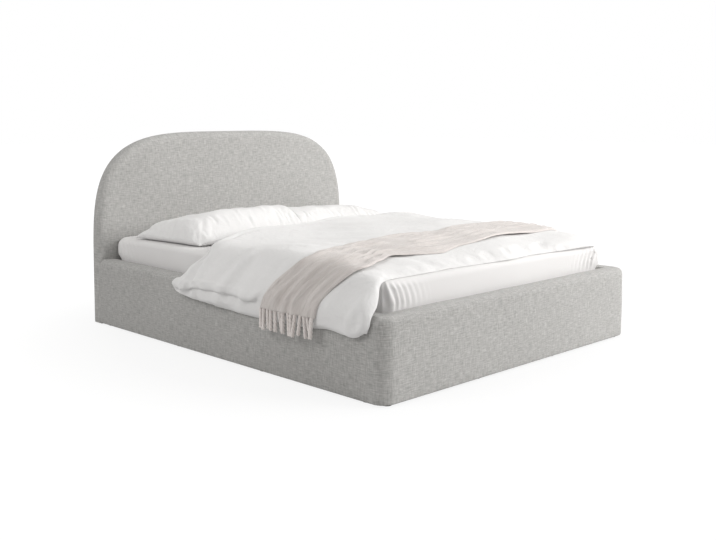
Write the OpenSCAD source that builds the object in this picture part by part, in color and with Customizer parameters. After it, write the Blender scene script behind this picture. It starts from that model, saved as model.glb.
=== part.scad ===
// Upholstered storage bed with an arched headboard. The mattress platform is carried by a pair of
// four-bar lift fittings with gas struts, so that the foot end swings up over the storage space.
// X runs across the bed, Y along it with the headboard at +Y, Z up from the floor.

/* [Mattress] */
// Width of the mattress
mattress_w = 1600; // [1400:10:1800]
// Length of the mattress
mattress_l = 2000; // [1900:10:2200]
// Height of the mattress
mattress_h = 200; // [160:5:240]
// Height of the mattress underside above the floor
platform_z = 270; // [265:1:290]
// Gap between the mattress and each side rail
side_gap = 10; // [8:1:20]
// Gap between the mattress and the headboard, and at the foot
end_gap = 15; // [13:1:25]

/* [Rails] */
// Thickness of the upholstered rails
rail_t = 90; // [84:1:110]
// Height of the rails
rail_h = 355; // [330:1:380]
// Radius of the outer top edge of the rails
rail_edge_r = 28; // [20:1:34]
// Radius of the inner top edge of the rails
rail_inner_r = 12; // [8:1:14]
// Radius of the outer bottom edge of the rails
rail_base_r = 10; // [6:1:14]
// Radius of the foot corners seen from above
foot_r = 65; // [50:1:75]
// Thickness of the inner boards
inner_board_t = 16; // [12:1:19]
// Thickness of the outer boards
outer_board_t = 12; // [6:1:14]
// Width of the battens between the boards
batten_w = 40; // [30:1:50]

/* [Upholstery] */
// Thickness of the cover fabric
cover_t = 3; // [2:0.5:4]
// Thickness of the foam on rails and headboard edge
foam_t = 12; // [8:1:16]
// Thickness of the foam on the headboard front
head_foam_t = 30; // [20:1:34]
// Depth of the cover turned in over the rails
cover_return_w = 60; // [40:1:70]

/* [Headboard] */
// Height of the headboard
head_h = 1038; // [950:1:1150]
// Thickness of the headboard
head_t = 80; // [74:1:100]
// Height of the curved part of the headboard
arch_rise = 780; // [600:5:850]
// Radius of the front edge of the headboard
head_edge_r = 38; // [20:1:42]
// Radius of the back edge of the headboard
head_back_r = 10; // [6:1:16]
// Thickness of the headboard panel
head_panel_t = 16; // [12:1:19]

/* [Floor] */
// Height of the glides under the frame
glide_h = 8; // [6:1:12]
// Radius of the glides
glide_r = 20; // [14:1:22]
// Height of the battens under the storage floor
floor_batten_h = 28; // [22:1:30]
// Thickness of the storage floor panels
floor_t = 6; // [3:0.5:8]

/* [Platform] */
// Height of the steel tubes
tube_h = 40; // [36:1:44]
// Width of the steel tubes
tube_w = 30; // [26:1:34]
// Wall of the steel tubes
tube_wall = 2; // [1.5:0.1:3]
// Thickness of a slat
slat_t = 8; // [6:0.5:9]
// Width of a slat
slat_w = 55; // [45:1:65]
// Number of slats in each row
slat_count = 14; // [10:1:16]

/* [Lift fittings] */
// Distance of the long arm's fixed pivot from the headboard
long_pivot_u = 425; // [415:1:435]
// Height of the long arm's fixed pivot
long_pivot_z = 182; // [177:1:187]
// Distance of the short arm's fixed pivot from the headboard
short_pivot_u = 754; // [744:1:764]
// Height of the short arm's fixed pivot
short_pivot_z = 104; // [99:1:109]
// Distance of the strut's fixed pivot from the headboard
strut_pivot_u = 327; // [320:1:334]
// Height of the strut's fixed pivot
strut_pivot_z = 54; // [52:1:58]
// Distance of the long arm's platform pivot from the headboard
long_top_u = 170; // [165:1:175]
// Distance of the short arm's platform pivot from the headboard
short_top_u = 295; // [290:1:300]
// Thickness of the base and top plates
plate_t = 4; // [3:0.5:5]
// Thickness of the arms
arm_t = 5; // [4:0.5:6]
// Width of the arms
arm_w = 30; // [28:1:34]
// Radius of the pivot pins
pin_r = 5; // [4:0.5:6]
// Outer radius of the gas strut cylinder
strut_r = 9; // [8:0.5:9.5]
// Radius of the gas strut rod
rod_r = 4; // [3:0.5:5]

/* [Bedding] */
// Thickness of the fitted sheet
sheet_t = 2; // [1.5:0.5:3]
// Length of the bed that the duvet covers
duvet_l = 1290; // [1200:10:1300]
// Loft of the duvet on the mattress
duvet_loft = 62; // [45:1:75]
// Thickness of the duvet where it hangs
duvet_drop_t = 34; // [24:1:38]
// Height of the duvet's lower edge above the floor
duvet_low_z = 248; // [220:1:280]
// Thickness of the folded throw
throw_t = 9; // [6:1:12]
// Distance of the throw's middle from the foot of the mattress
throw_foot_gap = 430; // [300:10:600]
// Width of the folded throw
throw_w = 400; // [300:5:600]
// Height of the throw's hem above the floor
throw_low_z = 312; // [290:1:330]
// Length of the fringe
fringe_l = 92; // [60:1:110]
// Number of tassels at each end of the throw
fringe_count = 14; // [10:1:20]
// Width of a pillow
pillow_w = 775; // [650:5:830]
// Depth of a pillow
pillow_l = 520; // [500:5:565]
// Height of a pillow
pillow_h = 150; // [110:1:160]

/* [Hidden] */
$fn = 48;

// Small distance that cuts run past a face
over = 1;
// Gap between resting pieces of different bodies, and under soft pieces
rest_gap = 0.3;
// Radial running clearance of a pin in its hole
run_gap = 0.05;
// Radial clearance of the two pivots that close the linkage
open_gap = 4.5;

// Overall places worked out from the mattress
open_w = mattress_w + 2 * side_gap;
open_l = mattress_l + 2 * end_gap;
bed_w = open_w + 2 * rail_t;
bed_l = open_l + rail_t + head_t;
half_w = bed_w / 2;
foot_y = -bed_l / 2;
head_y = bed_l / 2 - head_t;
foot_in_y = foot_y + rail_t;
side_l = head_y - foot_in_y;
corner_x = half_w - foot_r;
core_p = cover_t + foam_t;
core_end_p = rail_t - cover_t;
core_z = glide_h + cover_t;
core_top_z = rail_h - cover_t - foam_t;
core_h = core_top_z - core_z;
wall_x = open_w / 2 + cover_t;
wall_y = foot_in_y - cover_t;
batten_p = core_p + outer_board_t;
batten_d = core_end_p - inner_board_t - batten_p;

// Heights of the platform
holder_h = 20;
tube_top_z = platform_z - holder_h;
tube_z = tube_top_z - tube_h;
pad_t = 3;
ledge_h = 27;
ledge_w = 65;
foot_ledge_w = 60;
ledge_z = tube_z - rest_gap - pad_t - ledge_h;

// Planes of the lift fittings, counted inwards from the rail's inner board
plate_play = 2;
strut_play = 1;
base_plate_x = wall_x - plate_t;
long_arm_x = base_plate_x - plate_play - arm_t;
strut_x = long_arm_x - strut_play - strut_r;
short_arm_x = strut_x - strut_r - plate_play - arm_t;
top_plate_x = short_arm_x - strut_play - plate_t;
side_tube_x = top_plate_x - tube_w;

// Pivots of the lift fittings as [Y, Z]
long_top_rise = 5;
short_top_drop = 33;
stud_share = 0.745;
long_pivot = [head_y - long_pivot_u, long_pivot_z];
short_pivot = [head_y - short_pivot_u, short_pivot_z];
strut_pivot = [head_y - strut_pivot_u, strut_pivot_z];
long_top = [head_y - long_top_u, tube_top_z + long_top_rise];
short_top = [head_y - short_top_u, tube_top_z - short_top_drop];
stud_point = long_pivot + stud_share * (long_top - long_pivot);

// Bed top, and the lines along which the duvet bends over the mattress and the rail
bed_top_z = platform_z + mattress_h + sheet_t;
sheet_edge_r = 25;
sheet_corner_r = 60;

cover_colour = [0.76, 0.755, 0.74];
foam_colour = [0.93, 0.9, 0.76];
wood_colour = [0.86, 0.75, 0.58];
board_colour = [0.8, 0.68, 0.5];
steel_colour = [0.25, 0.26, 0.28];
zinc_colour = [0.75, 0.76, 0.78];
plastic_colour = [0.16, 0.16, 0.17];
linen_colour = [0.96, 0.96, 0.96];
throw_colour = [0.83, 0.8, 0.78];

// Shared shapes

module both_sides() {
    children();
    mirror([1, 0, 0]) children();
}

// Flat shape drawn in Y and Z, given a thickness along X
module plate_at(x, t) {
    translate([x, 0, 0]) rotate([90, 0, 90]) linear_extrude(t) children();
}

// Flat shape drawn in X and Z, given a thickness towards the head
module board_at(y, t) {
    translate([0, y + t, 0]) rotate([90, 0, 0]) linear_extrude(t) children();
}

module pin_at(point, x, length, r) {
    translate([x, point[0], point[1]]) rotate([0, 90, 0]) cylinder(r = r, h = length);
}

// Straight bar with round ends between two pivots
module link_shape(a, b, w) {
    run = b - a;
    translate(a) rotate(atan2(run[1], run[0])) {
        translate([0, -w / 2]) square([norm(run), w]);
        circle(w / 2);
        translate([norm(run), 0]) circle(w / 2);
    }
}

module box_between(low, high) {
    translate(low) cube(high - low);
}

// Solid through closed rings of points that all have the same count
module loft(rings) {
    n = len(rings[0]);
    last = len(rings) - 1;
    sides = [for (k = [0 : last - 1], i = [0 : n - 1])
        let (a = k * n + i, b = k * n + (i + 1) % n) each [[a, a + n, b], [b, a + n, b + n]]];
    first_cap = [for (i = [0 : n - 1]) i];
    last_cap = [for (i = [0 : n - 1]) last * n + n - 1 - i];
    polyhedron(points = [for (ring = rings) each ring], faces = concat([first_cap], sides, [last_cap]));
}

// Solid between an upper and a lower sheet of points with the same rows and columns
module quilt(upper, lower) {
    rows = len(upper);
    cols = len(upper[0]);
    size = rows * cols;
    top = [for (r = [0 : rows - 2], c = [0 : cols - 2])
        let (a = r * cols + c, b = a + cols) each [[a, a + 1, b], [a + 1, b + 1, b]]];
    low = [for (f = top) [f[2] + size, f[1] + size, f[0] + size]];
    rim = concat(
        [for (c = [0 : cols - 1]) c],
        [for (r = [1 : rows - 1]) r * cols + cols - 1],
        [for (c = [cols - 2 : -1 : 0]) (rows - 1) * cols + c],
        [for (r = [rows - 2 : -1 : 1]) r * cols]);
    edge = [for (i = [0 : len(rim) - 1])
        let (a = rim[i], b = rim[(i + 1) % len(rim)]) each [[a, a + size, b], [b, a + size, b + size]]];
    polyhedron(
        points = concat([for (row = upper) each row], [for (row = lower) each row]),
        faces = concat(top, low, edge));
}

// Rails

function arc(centre, r, a0, a1, steps) = [
    for (k = [0 : steps]) let (a = a0 + (a1 - a0) * k / steps) centre + r * [cos(a), sin(a)]];

// Section of a rail: x is the depth from its outer face, y the height
module rail_profile(inset) {
    polygon(concat(
        arc([rail_edge_r, rail_h - rail_edge_r], rail_edge_r - inset, 180, 90, 8),
        arc([rail_t - rail_inner_r, rail_h - rail_inner_r], rail_inner_r - inset, 90, 0, 5),
        [[rail_t - inset, glide_h + inset]],
        arc([rail_base_r, glide_h + rail_base_r], rail_base_r - inset, -90, -180, 4)));
}

// Right side rail between two Y places
module side_bar(inset, y0, y1) {
    translate([half_w, y1, 0]) mirror([1, 0, 0]) rotate([90, 0, 0]) linear_extrude(y1 - y0)
        rail_profile(inset);
}

module side_box(p0, p1, z0, z1, y0 = foot_in_y, y1 = head_y) {
    box_between([half_w - p1, y0, z0], [half_w - p0, y1, z1]);
}

// Foot rail with its two rounded corners
module foot_bar(inset) {
    translate([-corner_x, foot_y, 0]) rotate([90, 0, 90]) linear_extrude(2 * corner_x)
        rail_profile(inset);
    both_sides() {
        translate([corner_x, foot_y + foot_r, 0]) rotate([0, 0, -90]) rotate_extrude(angle = 90)
            intersection() {
                translate([foot_r, 0]) mirror([1, 0]) rail_profile(inset);
                square([foot_r, rail_h]);
            }
        intersection() {
            side_bar(inset, foot_y + foot_r, foot_in_y - inset);
            box_between([corner_x, foot_y, 0], [half_w, foot_in_y, rail_h]);
        }
    }
}

// Rounded block that carries the upholstery at a foot corner, seen from above
module corner_post_plan() {
    post_r = foot_r - core_p;
    translate([corner_x, foot_y + foot_r]) intersection() {
        circle(post_r);
        translate([0, -post_r]) square(post_r);
    }
    translate([corner_x, foot_y + foot_r]) square([post_r, rail_t - foot_r - cover_t]);
}

// Space between the cover's turned-in strip and the floor, where the inner boards are bare
module side_bare() {
    side_box(core_end_p, rail_t + over, core_z, rail_h - cover_return_w, foot_in_y - over, head_y + over);
}

// Bolt places of the corner brackets as heights above the floor
bracket_h = 110;
bracket_z = 60;
bracket_w = 45;
bracket_t = 4;
bolt_r = 4;
bolt_head_r = 6.5;
bolt_head_h = 5;
bolt_z = [bracket_z + bracket_h / 4, bracket_z + bracket_h * 3 / 4];
bolt_out = bracket_w * 2 / 3;

module side_bolts(r, x, length) {
    for (y = [foot_in_y - cover_t + bolt_out, head_y - bolt_out], z = bolt_z)
        pin_at([y, z], x, length, r);
}

module end_bolts(y, r, length) {
    for (z = bolt_z)
        translate([wall_x - bolt_out, y, z]) rotate([-90, 0, 0]) cylinder(r = r, h = length);
}

module right_cover() {
    color(cover_colour) difference() {
        side_bar(0, foot_in_y, head_y);
        side_bar(cover_t, foot_in_y - over, head_y + over);
        side_bare();
    }
}

module right_foam() {
    color(foam_colour) difference() {
        side_bar(cover_t, foot_in_y, head_y);
        side_box(core_p, rail_t, 0, core_top_z, foot_in_y - over, head_y + over);
        side_box(core_end_p, rail_t + over, 0, rail_h, foot_in_y - over, head_y + over);
    }
}

module right_outer_board() {
    color(board_colour) side_box(core_p, core_p + outer_board_t, core_z, core_top_z);
}

upright_count = 5;

module right_battens() {
    inner_p = batten_p + batten_d;
    color(wood_colour) {
        side_box(batten_p, inner_p, core_z, core_z + batten_w);
        side_box(batten_p, inner_p, core_top_z - batten_w, core_top_z);
        for (i = [0 : upright_count - 1])
            let (y = foot_in_y + i * (side_l - batten_w) / (upright_count - 1))
                side_box(batten_p, inner_p, core_z + batten_w, core_top_z - batten_w, y, y + batten_w);
    }
}

module right_inner_board() {
    color(board_colour) difference() {
        side_box(core_end_p - inner_board_t, core_end_p, core_z, core_top_z);
        side_bolts(bolt_r, wall_x - over, inner_board_t + 2 * over);
        fixing_holes(wall_x - over, inner_board_t + 2 * over);
    }
}

module left_cover() { mirror([1, 0, 0]) right_cover(); }
module left_foam() { mirror([1, 0, 0]) right_foam(); }
module left_outer_board() { mirror([1, 0, 0]) right_outer_board(); }
module left_battens() { mirror([1, 0, 0]) right_battens(); }
module left_inner_board() { mirror([1, 0, 0]) right_inner_board(); }

module foot_box(p0, p1, z0, z1, half) {
    box_between([-half, foot_y + p0, z0], [half, foot_y + p1, z1]);
}

module foot_cover() {
    color(cover_colour) difference() {
        foot_bar(0);
        foot_bar(cover_t);
        foot_box(core_end_p, rail_t + over, core_z, rail_h - cover_return_w, wall_x);
    }
}

module foot_corner_posts() {
    color(wood_colour) both_sides()
        translate([0, 0, core_z]) linear_extrude(core_h) corner_post_plan();
}

module foot_foam() {
    color(foam_colour) difference() {
        foot_bar(cover_t);
        foot_box(core_p, core_end_p + over, 0, core_top_z, corner_x);
        both_sides() linear_extrude(core_top_z) corner_post_plan();
    }
}

module foot_outer_board() {
    color(board_colour) foot_box(core_p, core_p + outer_board_t, core_z, core_top_z, corner_x);
}

module foot_battens() {
    inner_p = batten_p + batten_d;
    color(wood_colour) {
        foot_box(batten_p, inner_p, core_z, core_z + batten_w, corner_x);
        foot_box(batten_p, inner_p, core_top_z - batten_w, core_top_z, corner_x);
        for (i = [0 : upright_count - 1])
            let (x = -corner_x + i * (2 * corner_x - batten_w) / (upright_count - 1))
                box_between([x, foot_y + batten_p, core_z + batten_w],
                    [x + batten_w, foot_y + inner_p, core_top_z - batten_w]);
    }
}

module foot_inner_board() {
    color(board_colour) difference() {
        foot_box(core_end_p - inner_board_t, core_end_p, core_z, core_top_z, corner_x);
        both_sides() end_bolts(wall_y - inner_board_t - over, bolt_r, inner_board_t + 2 * over);
    }
}

// Headboard

arch_points = 15;

// Half of the arched outline: straight sides that turn into a flattened top
function arch_half(inset, edge, base) = [
    [half_w - inset, base + inset],
    [half_w - inset, rail_h],
    for (i = [1 : arch_points])
        let (
            t = 45 * (1 - cos(180 * i / arch_points)),
            z = head_h - inset - arch_rise + arch_rise * sqrt(sin(t)),
            near = min(1, max(0, (z - rail_h) / head_edge_r)),
            more = edge * near)
        [(half_w - inset - more) * sqrt(cos(t)), max(z, rail_h + head_edge_r * i / arch_points) - more]
];

function arch_outline(inset, edge, base) =
    let (right = arch_half(inset, edge, base), n = len(right))
        concat(right, [for (i = [n - 2 : -1 : 0]) [-right[i][0], right[i][1]]]);

// Headboard body with rounded front and back edges, drawn in by an inset
module head_body(inset) {
    front_r = head_edge_r - inset;
    back_r = head_back_r - inset;
    steps = 5;
    front = [for (k = [0 : steps])
        let (a = 90 * k / steps) [head_y + inset + front_r * (1 - sin(a)), front_r * (1 - cos(a))]];
    back = [for (k = [0 : 3])
        let (a = 30 * k) [bed_l / 2 - inset - back_r * (1 - sin(a)), back_r * (1 - cos(a))]];
    loft([for (ring = concat([for (k = [3 : -1 : 0]) back[k]], front))
        [for (p = arch_outline(inset, ring[1], glide_h)) [p[0], ring[0], p[1]]]]);
}

head_panel_y = head_y + cover_t + head_foam_t;
head_batten_y = head_panel_y + head_panel_t;
back_cloth_t = 1.5;
back_cloth_y = bed_l / 2 - cover_t - back_cloth_t;
head_batten_d = back_cloth_y - head_batten_y;
back_window = 45;
head_bolt_l = cover_t + head_foam_t + head_panel_t;

module head_cover() {
    color(cover_colour) difference() {
        head_body(0);
        head_body(cover_t);
        board_at(back_cloth_y + back_cloth_t - over, cover_t + 2 * over)
            polygon(arch_outline(back_window, 0, glide_h));
        both_sides() end_bolts(head_y - over, bolt_r, cover_t + 2 * over);
    }
}

module head_foam() {
    color(foam_colour) difference() {
        head_body(cover_t);
        board_at(head_panel_y, head_t) polygon(arch_outline(core_p, 0, glide_h - foam_t));
        both_sides() end_bolts(head_y, bolt_r, head_bolt_l);
    }
}

module head_panel() {
    color(board_colour) difference() {
        board_at(head_panel_y, head_panel_t) polygon(arch_outline(core_p, 0, glide_h - foam_t));
        both_sides() end_bolts(head_y, bolt_r, head_bolt_l + over);
    }
}

module head_battens() {
    upright_share = 0.8;
    top_share = 0.88;
    top_z = head_h * top_share;
    upright_x = half_w * upright_share;
    color(wood_colour) {
        for (z = [core_z, rail_h, top_z - batten_w])
            box_between([-upright_x + batten_w, head_batten_y, z],
                [upright_x - batten_w, back_cloth_y, z + batten_w]);
        for (x = [-upright_x, upright_x - batten_w])
            box_between([x, head_batten_y, core_z], [x + batten_w, back_cloth_y, top_z]);
        for (z = [[core_z + batten_w, rail_h], [rail_h + batten_w, top_z - batten_w]])
            box_between([-batten_w / 2, head_batten_y, z[0]], [batten_w / 2, back_cloth_y, z[1]]);
    }
}

module head_back_cloth() {
    color([0.2, 0.2, 0.2]) board_at(back_cloth_y, back_cloth_t)
        polygon(arch_outline(back_window - batten_w / 2, 0, glide_h));
}

// Corner fittings

module corner_bracket_plan() {
    square([bracket_w, bracket_t]);
    square([bracket_t, bracket_w]);
}

module corner_brackets() {
    color(steel_colour) both_sides() {
        difference() {
            translate([wall_x, wall_y, bracket_z]) mirror([1, 0, 0]) linear_extrude(bracket_h)
                corner_bracket_plan();
            side_bolts(bolt_r, wall_x - bracket_t - over, bracket_t + 2 * over);
            end_bolts(wall_y - over, bolt_r, bracket_t + 2 * over);
        }
        difference() {
            translate([wall_x, head_y, bracket_z]) rotate([0, 0, 180]) linear_extrude(bracket_h)
                corner_bracket_plan();
            side_bolts(bolt_r, wall_x - bracket_t - over, bracket_t + 2 * over);
            end_bolts(head_y - bracket_t - over, bolt_r, bracket_t + 2 * over);
        }
    }
}

module corner_bolts() {
    color(zinc_colour) both_sides() {
        side_bolts(bolt_r, wall_x - bracket_t, bracket_t + inner_board_t);
        side_bolts(bolt_head_r, wall_x - bracket_t - bolt_head_h, bolt_head_h);
        end_bolts(wall_y - inner_board_t, bolt_r, bracket_t + inner_board_t);
        end_bolts(wall_y + bracket_t, bolt_head_r, bolt_head_h);
        end_bolts(head_y - bracket_t, bolt_r, bracket_t + head_bolt_l);
        end_bolts(head_y - bracket_t - bolt_head_h, bolt_head_r, bolt_head_h);
    }
}

// Ledges that the lowered platform rests on

ledge_start_u = 850;
ledge_end_u = open_l - foot_ledge_w - batten_w;
pad_w = 20;
pad_l = 60;

module right_ledge() {
    color(wood_colour) box_between([wall_x - ledge_w, head_y - ledge_end_u, ledge_z],
        [wall_x, head_y - ledge_start_u, ledge_z + ledge_h]);
}

module left_ledge() { mirror([1, 0, 0]) right_ledge(); }

module foot_ledge() {
    color(wood_colour) box_between([-corner_x + ledge_w * 2, wall_y, ledge_z],
        [corner_x - ledge_w * 2, wall_y + foot_ledge_w, ledge_z + ledge_h]);
}

module ledge_pads() {
    side_pads = 4;
    run = ledge_end_u - ledge_start_u - pad_l;
    pad_z = ledge_z + ledge_h;
    color(plastic_colour) {
        both_sides() for (i = [0 : side_pads - 1])
            let (y = head_y - ledge_end_u + i * run / (side_pads - 1))
                box_between([wall_x - ledge_w, y, pad_z],
                    [wall_x - ledge_w + pad_w, y + pad_l, pad_z + pad_t]);
        for (x = [-corner_x / 2 - pad_l / 2, corner_x / 2 - pad_l / 2])
            box_between([x, wall_y + foot_ledge_w - pad_w, pad_z],
                [x + pad_l, wall_y + foot_ledge_w, pad_z + pad_t]);
    }
}

// Storage floor

floor_z = glide_h + floor_batten_h;
floor_margin = 8;
panel_gap = 4;
floor_batten_count = 5;
floor_batten_w = 45;

module floor_battens() {
    run = open_l - 2 * ledge_w - floor_batten_w;
    color(wood_colour) for (i = [0 : floor_batten_count - 1])
        let (y = wall_y + ledge_w + i * run / (floor_batten_count - 1))
            box_between([-open_w / 2, y, glide_h], [open_w / 2, y + floor_batten_w, floor_z]);
}

module floor_panels() {
    color(board_colour) both_sides()
        box_between([panel_gap / 2, wall_y + floor_margin, floor_z],
            [side_tube_x - floor_margin, head_y - floor_margin, floor_z + floor_t]);
}

module glides() {
    rail_mid = rail_t / 2;
    run = side_l - 2 * batten_w;
    batten_run = open_l - 2 * ledge_w - floor_batten_w;
    color(plastic_colour) {
        both_sides() {
            for (i = [0 : 3])
                translate([half_w - rail_mid, foot_in_y + batten_w + i * run / 3, 0])
                    cylinder(r = glide_r, h = glide_h);
            for (x = [corner_x / 3, corner_x])
                translate([x, foot_y + rail_mid, 0]) cylinder(r = glide_r, h = glide_h);
            for (x = [corner_x / 3, corner_x])
                translate([x, bed_l / 2 - head_t / 2, 0]) cylinder(r = glide_r, h = glide_h);
            for (i = [0 : floor_batten_count - 1])
                translate([half_w / 2,
                    wall_y + ledge_w + floor_batten_w / 2 + i * batten_run / (floor_batten_count - 1), 0])
                    cylinder(r = glide_r, h = glide_h);
        }
    }
}

// Lift fittings

eye_edge = 11;
pin_head_r = 9;
pin_head_h = 3;
screw_r = 3;
screw_head_r = 6;
screw_head_h = 2;

// Corners of the base plate around its three pivots
base_corners = [
    strut_pivot + [eye_edge + pin_r, -eye_edge - pin_r],
    strut_pivot + [eye_edge + pin_r, eye_edge + pin_r],
    long_pivot + [eye_edge + pin_r, eye_edge + pin_r],
    long_pivot + [-eye_edge - pin_r, eye_edge + pin_r],
    short_pivot + [-eye_edge - pin_r, eye_edge + pin_r],
    [short_pivot[0] - eye_edge - pin_r, strut_pivot[1] - eye_edge - pin_r]
];

// Screw places of the base plate, in from its corners and along its lower edge
screw_in = 14;
fixing_points = [
    [strut_pivot[0] - eye_edge * 3, strut_pivot[1] - eye_edge - pin_r + screw_in],
    [short_pivot[0], strut_pivot[1] - eye_edge - pin_r + screw_in],
    [(short_pivot[0] + strut_pivot[0]) / 2, strut_pivot[1] - eye_edge - pin_r + screw_in],
    [long_pivot[0] - eye_edge * 4, long_pivot[1] - eye_edge]
];

module fixing_holes(x, length) {
    for (p = fixing_points) pin_at(p, x, length, screw_r);
}

module lift_base_plates() {
    color(steel_colour) both_sides() difference() {
        plate_at(base_plate_x, plate_t) polygon(base_corners);
        for (p = [long_pivot, short_pivot, strut_pivot])
            pin_at(p, base_plate_x - over, plate_t + 2 * over, pin_r);
        fixing_holes(base_plate_x - over, plate_t + 2 * over);
    }
}

// Pins fixed to the base plates: the arms turn on two of them, the strut on the third
module base_pins() {
    color(zinc_colour) both_sides() {
        pin_at(long_pivot, long_arm_x - run_gap, wall_x - long_arm_x + run_gap, pin_r);
        pin_at(long_pivot, long_arm_x - run_gap - pin_head_h, pin_head_h, pin_head_r);
        pin_at(long_pivot, long_arm_x + arm_t + run_gap, plate_play - run_gap, pin_head_r);
        pin_at(short_pivot, short_arm_x - run_gap, wall_x - short_arm_x + run_gap, pin_r);
        pin_at(short_pivot, short_arm_x - run_gap - pin_head_h, pin_head_h, pin_head_r);
        pin_at(short_pivot, short_arm_x + arm_t + run_gap, base_plate_x - short_arm_x - arm_t - run_gap,
            pin_head_r);
        pin_at(strut_pivot, strut_x - eye_t / 2 - run_gap, wall_x - strut_x + eye_t / 2 + run_gap, pin_r);
        pin_at(strut_pivot, strut_x - eye_t / 2 - run_gap - pin_head_h, pin_head_h, pin_head_r);
        pin_at(strut_pivot, strut_x + eye_t / 2 + run_gap, base_plate_x - strut_x - eye_t / 2 - run_gap,
            pin_head_r);
    }
}

module lift_bolts() {
    color(zinc_colour) both_sides() {
        fixing_holes(base_plate_x, plate_t + inner_board_t);
        for (p = fixing_points) pin_at(p, base_plate_x - screw_head_h, screw_head_h, screw_head_r);
    }
}

module long_arms() {
    color(steel_colour) both_sides() difference() {
        plate_at(long_arm_x, arm_t) link_shape(long_pivot, long_top, arm_w);
        pin_at(long_pivot, long_arm_x - over, arm_t + 2 * over, pin_r + run_gap);
        pin_at(long_top, long_arm_x - over, arm_t + 2 * over, pin_r + run_gap);
        pin_at(stud_point, long_arm_x - over, arm_t + 2 * over, rod_r);
    }
}

// Studs riveted to the long arms, which carry the upper ends of the struts
module strut_studs() {
    color(zinc_colour) both_sides() {
        pin_at(stud_point, strut_x - eye_t / 2 - run_gap, long_arm_x + arm_t - strut_x + eye_t / 2 + run_gap,
            rod_r);
        pin_at(stud_point, strut_x - eye_t / 2 - strut_play - screw_head_h, screw_head_h,
            rod_r + open_gap + plate_play);
        pin_at(stud_point, strut_x - eye_t / 2 - strut_play, strut_play - run_gap, rod_r);
    }
}

module short_arms() {
    color(steel_colour) both_sides() difference() {
        plate_at(short_arm_x, arm_t) link_shape(short_pivot, short_top, arm_w);
        pin_at(short_pivot, short_arm_x - over, arm_t + 2 * over, pin_r + run_gap);
        pin_at(short_top, short_arm_x - over, arm_t + 2 * over, pin_r + open_gap);
    }
}

// Gas struts, drawn along their own axis from the lower pivot

eye_t = 8;
strut_run = stud_point - strut_pivot;
strut_l = norm(strut_run);
strut_angle = atan2(strut_run[1], strut_run[0]);
strut_neck = 14;
strut_wall = 1.5;
rod_eye_r = rod_r + open_gap + 4 * strut_wall;
// Share of the closed length that the cylinder takes
cylinder_share = 0.73;
cylinder_end = strut_l * cylinder_share;
piston_h = 12;

module along_strut() {
    translate([strut_x, strut_pivot[0], strut_pivot[1]]) rotate([strut_angle - 90, 0, 0]) children();
}

module strut_cylinders() {
    color(plastic_colour) both_sides() along_strut() difference() {
        union() {
            translate([-eye_t / 2, 0, 0]) rotate([0, 90, 0]) cylinder(r = pin_head_r, h = eye_t);
            translate([-eye_t / 2, -rod_r, 0]) cube([eye_t, 2 * rod_r, strut_neck]);
            translate([0, 0, strut_neck]) cylinder(r = strut_r, h = cylinder_end - strut_neck);
        }
        translate([0, 0, strut_neck + 2 * strut_wall])
            cylinder(r = strut_r - strut_wall, h = cylinder_end - strut_neck - 4 * strut_wall);
        translate([0, 0, cylinder_end - 3 * strut_wall])
            cylinder(r = rod_r + run_gap, h = 3 * strut_wall + over);
        translate([-eye_t, 0, 0]) rotate([0, 90, 0]) cylinder(r = pin_r + run_gap, h = 2 * eye_t);
    }
}

module strut_rods() {
    rod_start = strut_neck + 2 * strut_wall + piston_h;
    color(zinc_colour) both_sides() along_strut() {
        translate([0, 0, rod_start]) cylinder(r = rod_r, h = strut_l - rod_eye_r + strut_wall - rod_start);
        translate([-eye_t / 2, 0, strut_l]) rotate([0, 90, 0]) difference() {
            cylinder(r = rod_eye_r, h = eye_t);
            translate([0, 0, -over]) cylinder(r = rod_r + open_gap, h = eye_t + 2 * over);
        }
    }
}

module strut_pistons() {
    color(plastic_colour) both_sides() along_strut()
        translate([0, 0, strut_neck + 2 * strut_wall + run_gap])
            cylinder(r = strut_r - strut_wall - run_gap, h = piston_h - run_gap);
}

// Plates on the platform's side tubes, with the upper pins of the arms
module top_plates() {
    low = tube_z - screw_r;
    high = tube_top_z - screw_r;
    color(steel_colour) both_sides() difference() {
        plate_at(top_plate_x, plate_t) {
            polygon([
                [long_top[0] + eye_edge + pin_r, high], [long_top[0] + eye_edge, low],
                [short_top[0] - arm_w, low], [short_top[0] - arm_w * 2, high]]);
            translate(long_top) circle(eye_edge + screw_head_h / 2);
        }
        for (p = [long_top, short_top]) pin_at(p, top_plate_x - over, plate_t + 2 * over, pin_r);
    }
}

module top_pins() {
    clear_r = pin_r + open_gap + plate_play;
    color(zinc_colour) both_sides() {
        pin_at(long_top, top_plate_x, long_arm_x + arm_t + run_gap - top_plate_x, pin_r);
        pin_at(long_top, top_plate_x + plate_t, long_arm_x - run_gap - top_plate_x - plate_t, pin_head_r);
        pin_at(short_top, top_plate_x, short_arm_x + arm_t - top_plate_x + strut_play, pin_r);
        pin_at(short_top, short_arm_x + arm_t + run_gap, strut_play, clear_r);
    }
}

// Platform

frame_start_u = 25;
frame_end_u = open_l - frame_start_u;
frame_y0 = head_y - frame_end_u;
frame_y1 = head_y - frame_start_u;
centre_half = 20;

module tube_x(x0, x1, y, w) {
    difference() {
        box_between([x0, y, tube_z], [x1, y + w, tube_top_z]);
        box_between([x0 - over, y + tube_wall, tube_z + tube_wall],
            [x1 + over, y + w - tube_wall, tube_top_z - tube_wall]);
    }
}

module tube_y(x, w, y0, y1) {
    difference() {
        box_between([x, y0, tube_z], [x + w, y1, tube_top_z]);
        box_between([x + tube_wall, y0 - over, tube_z + tube_wall],
            [x + w - tube_wall, y1 + over, tube_top_z - tube_wall]);
    }
}

module side_tubes() {
    color(steel_colour) both_sides() tube_y(side_tube_x, tube_w, frame_y0, frame_y1);
}

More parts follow.
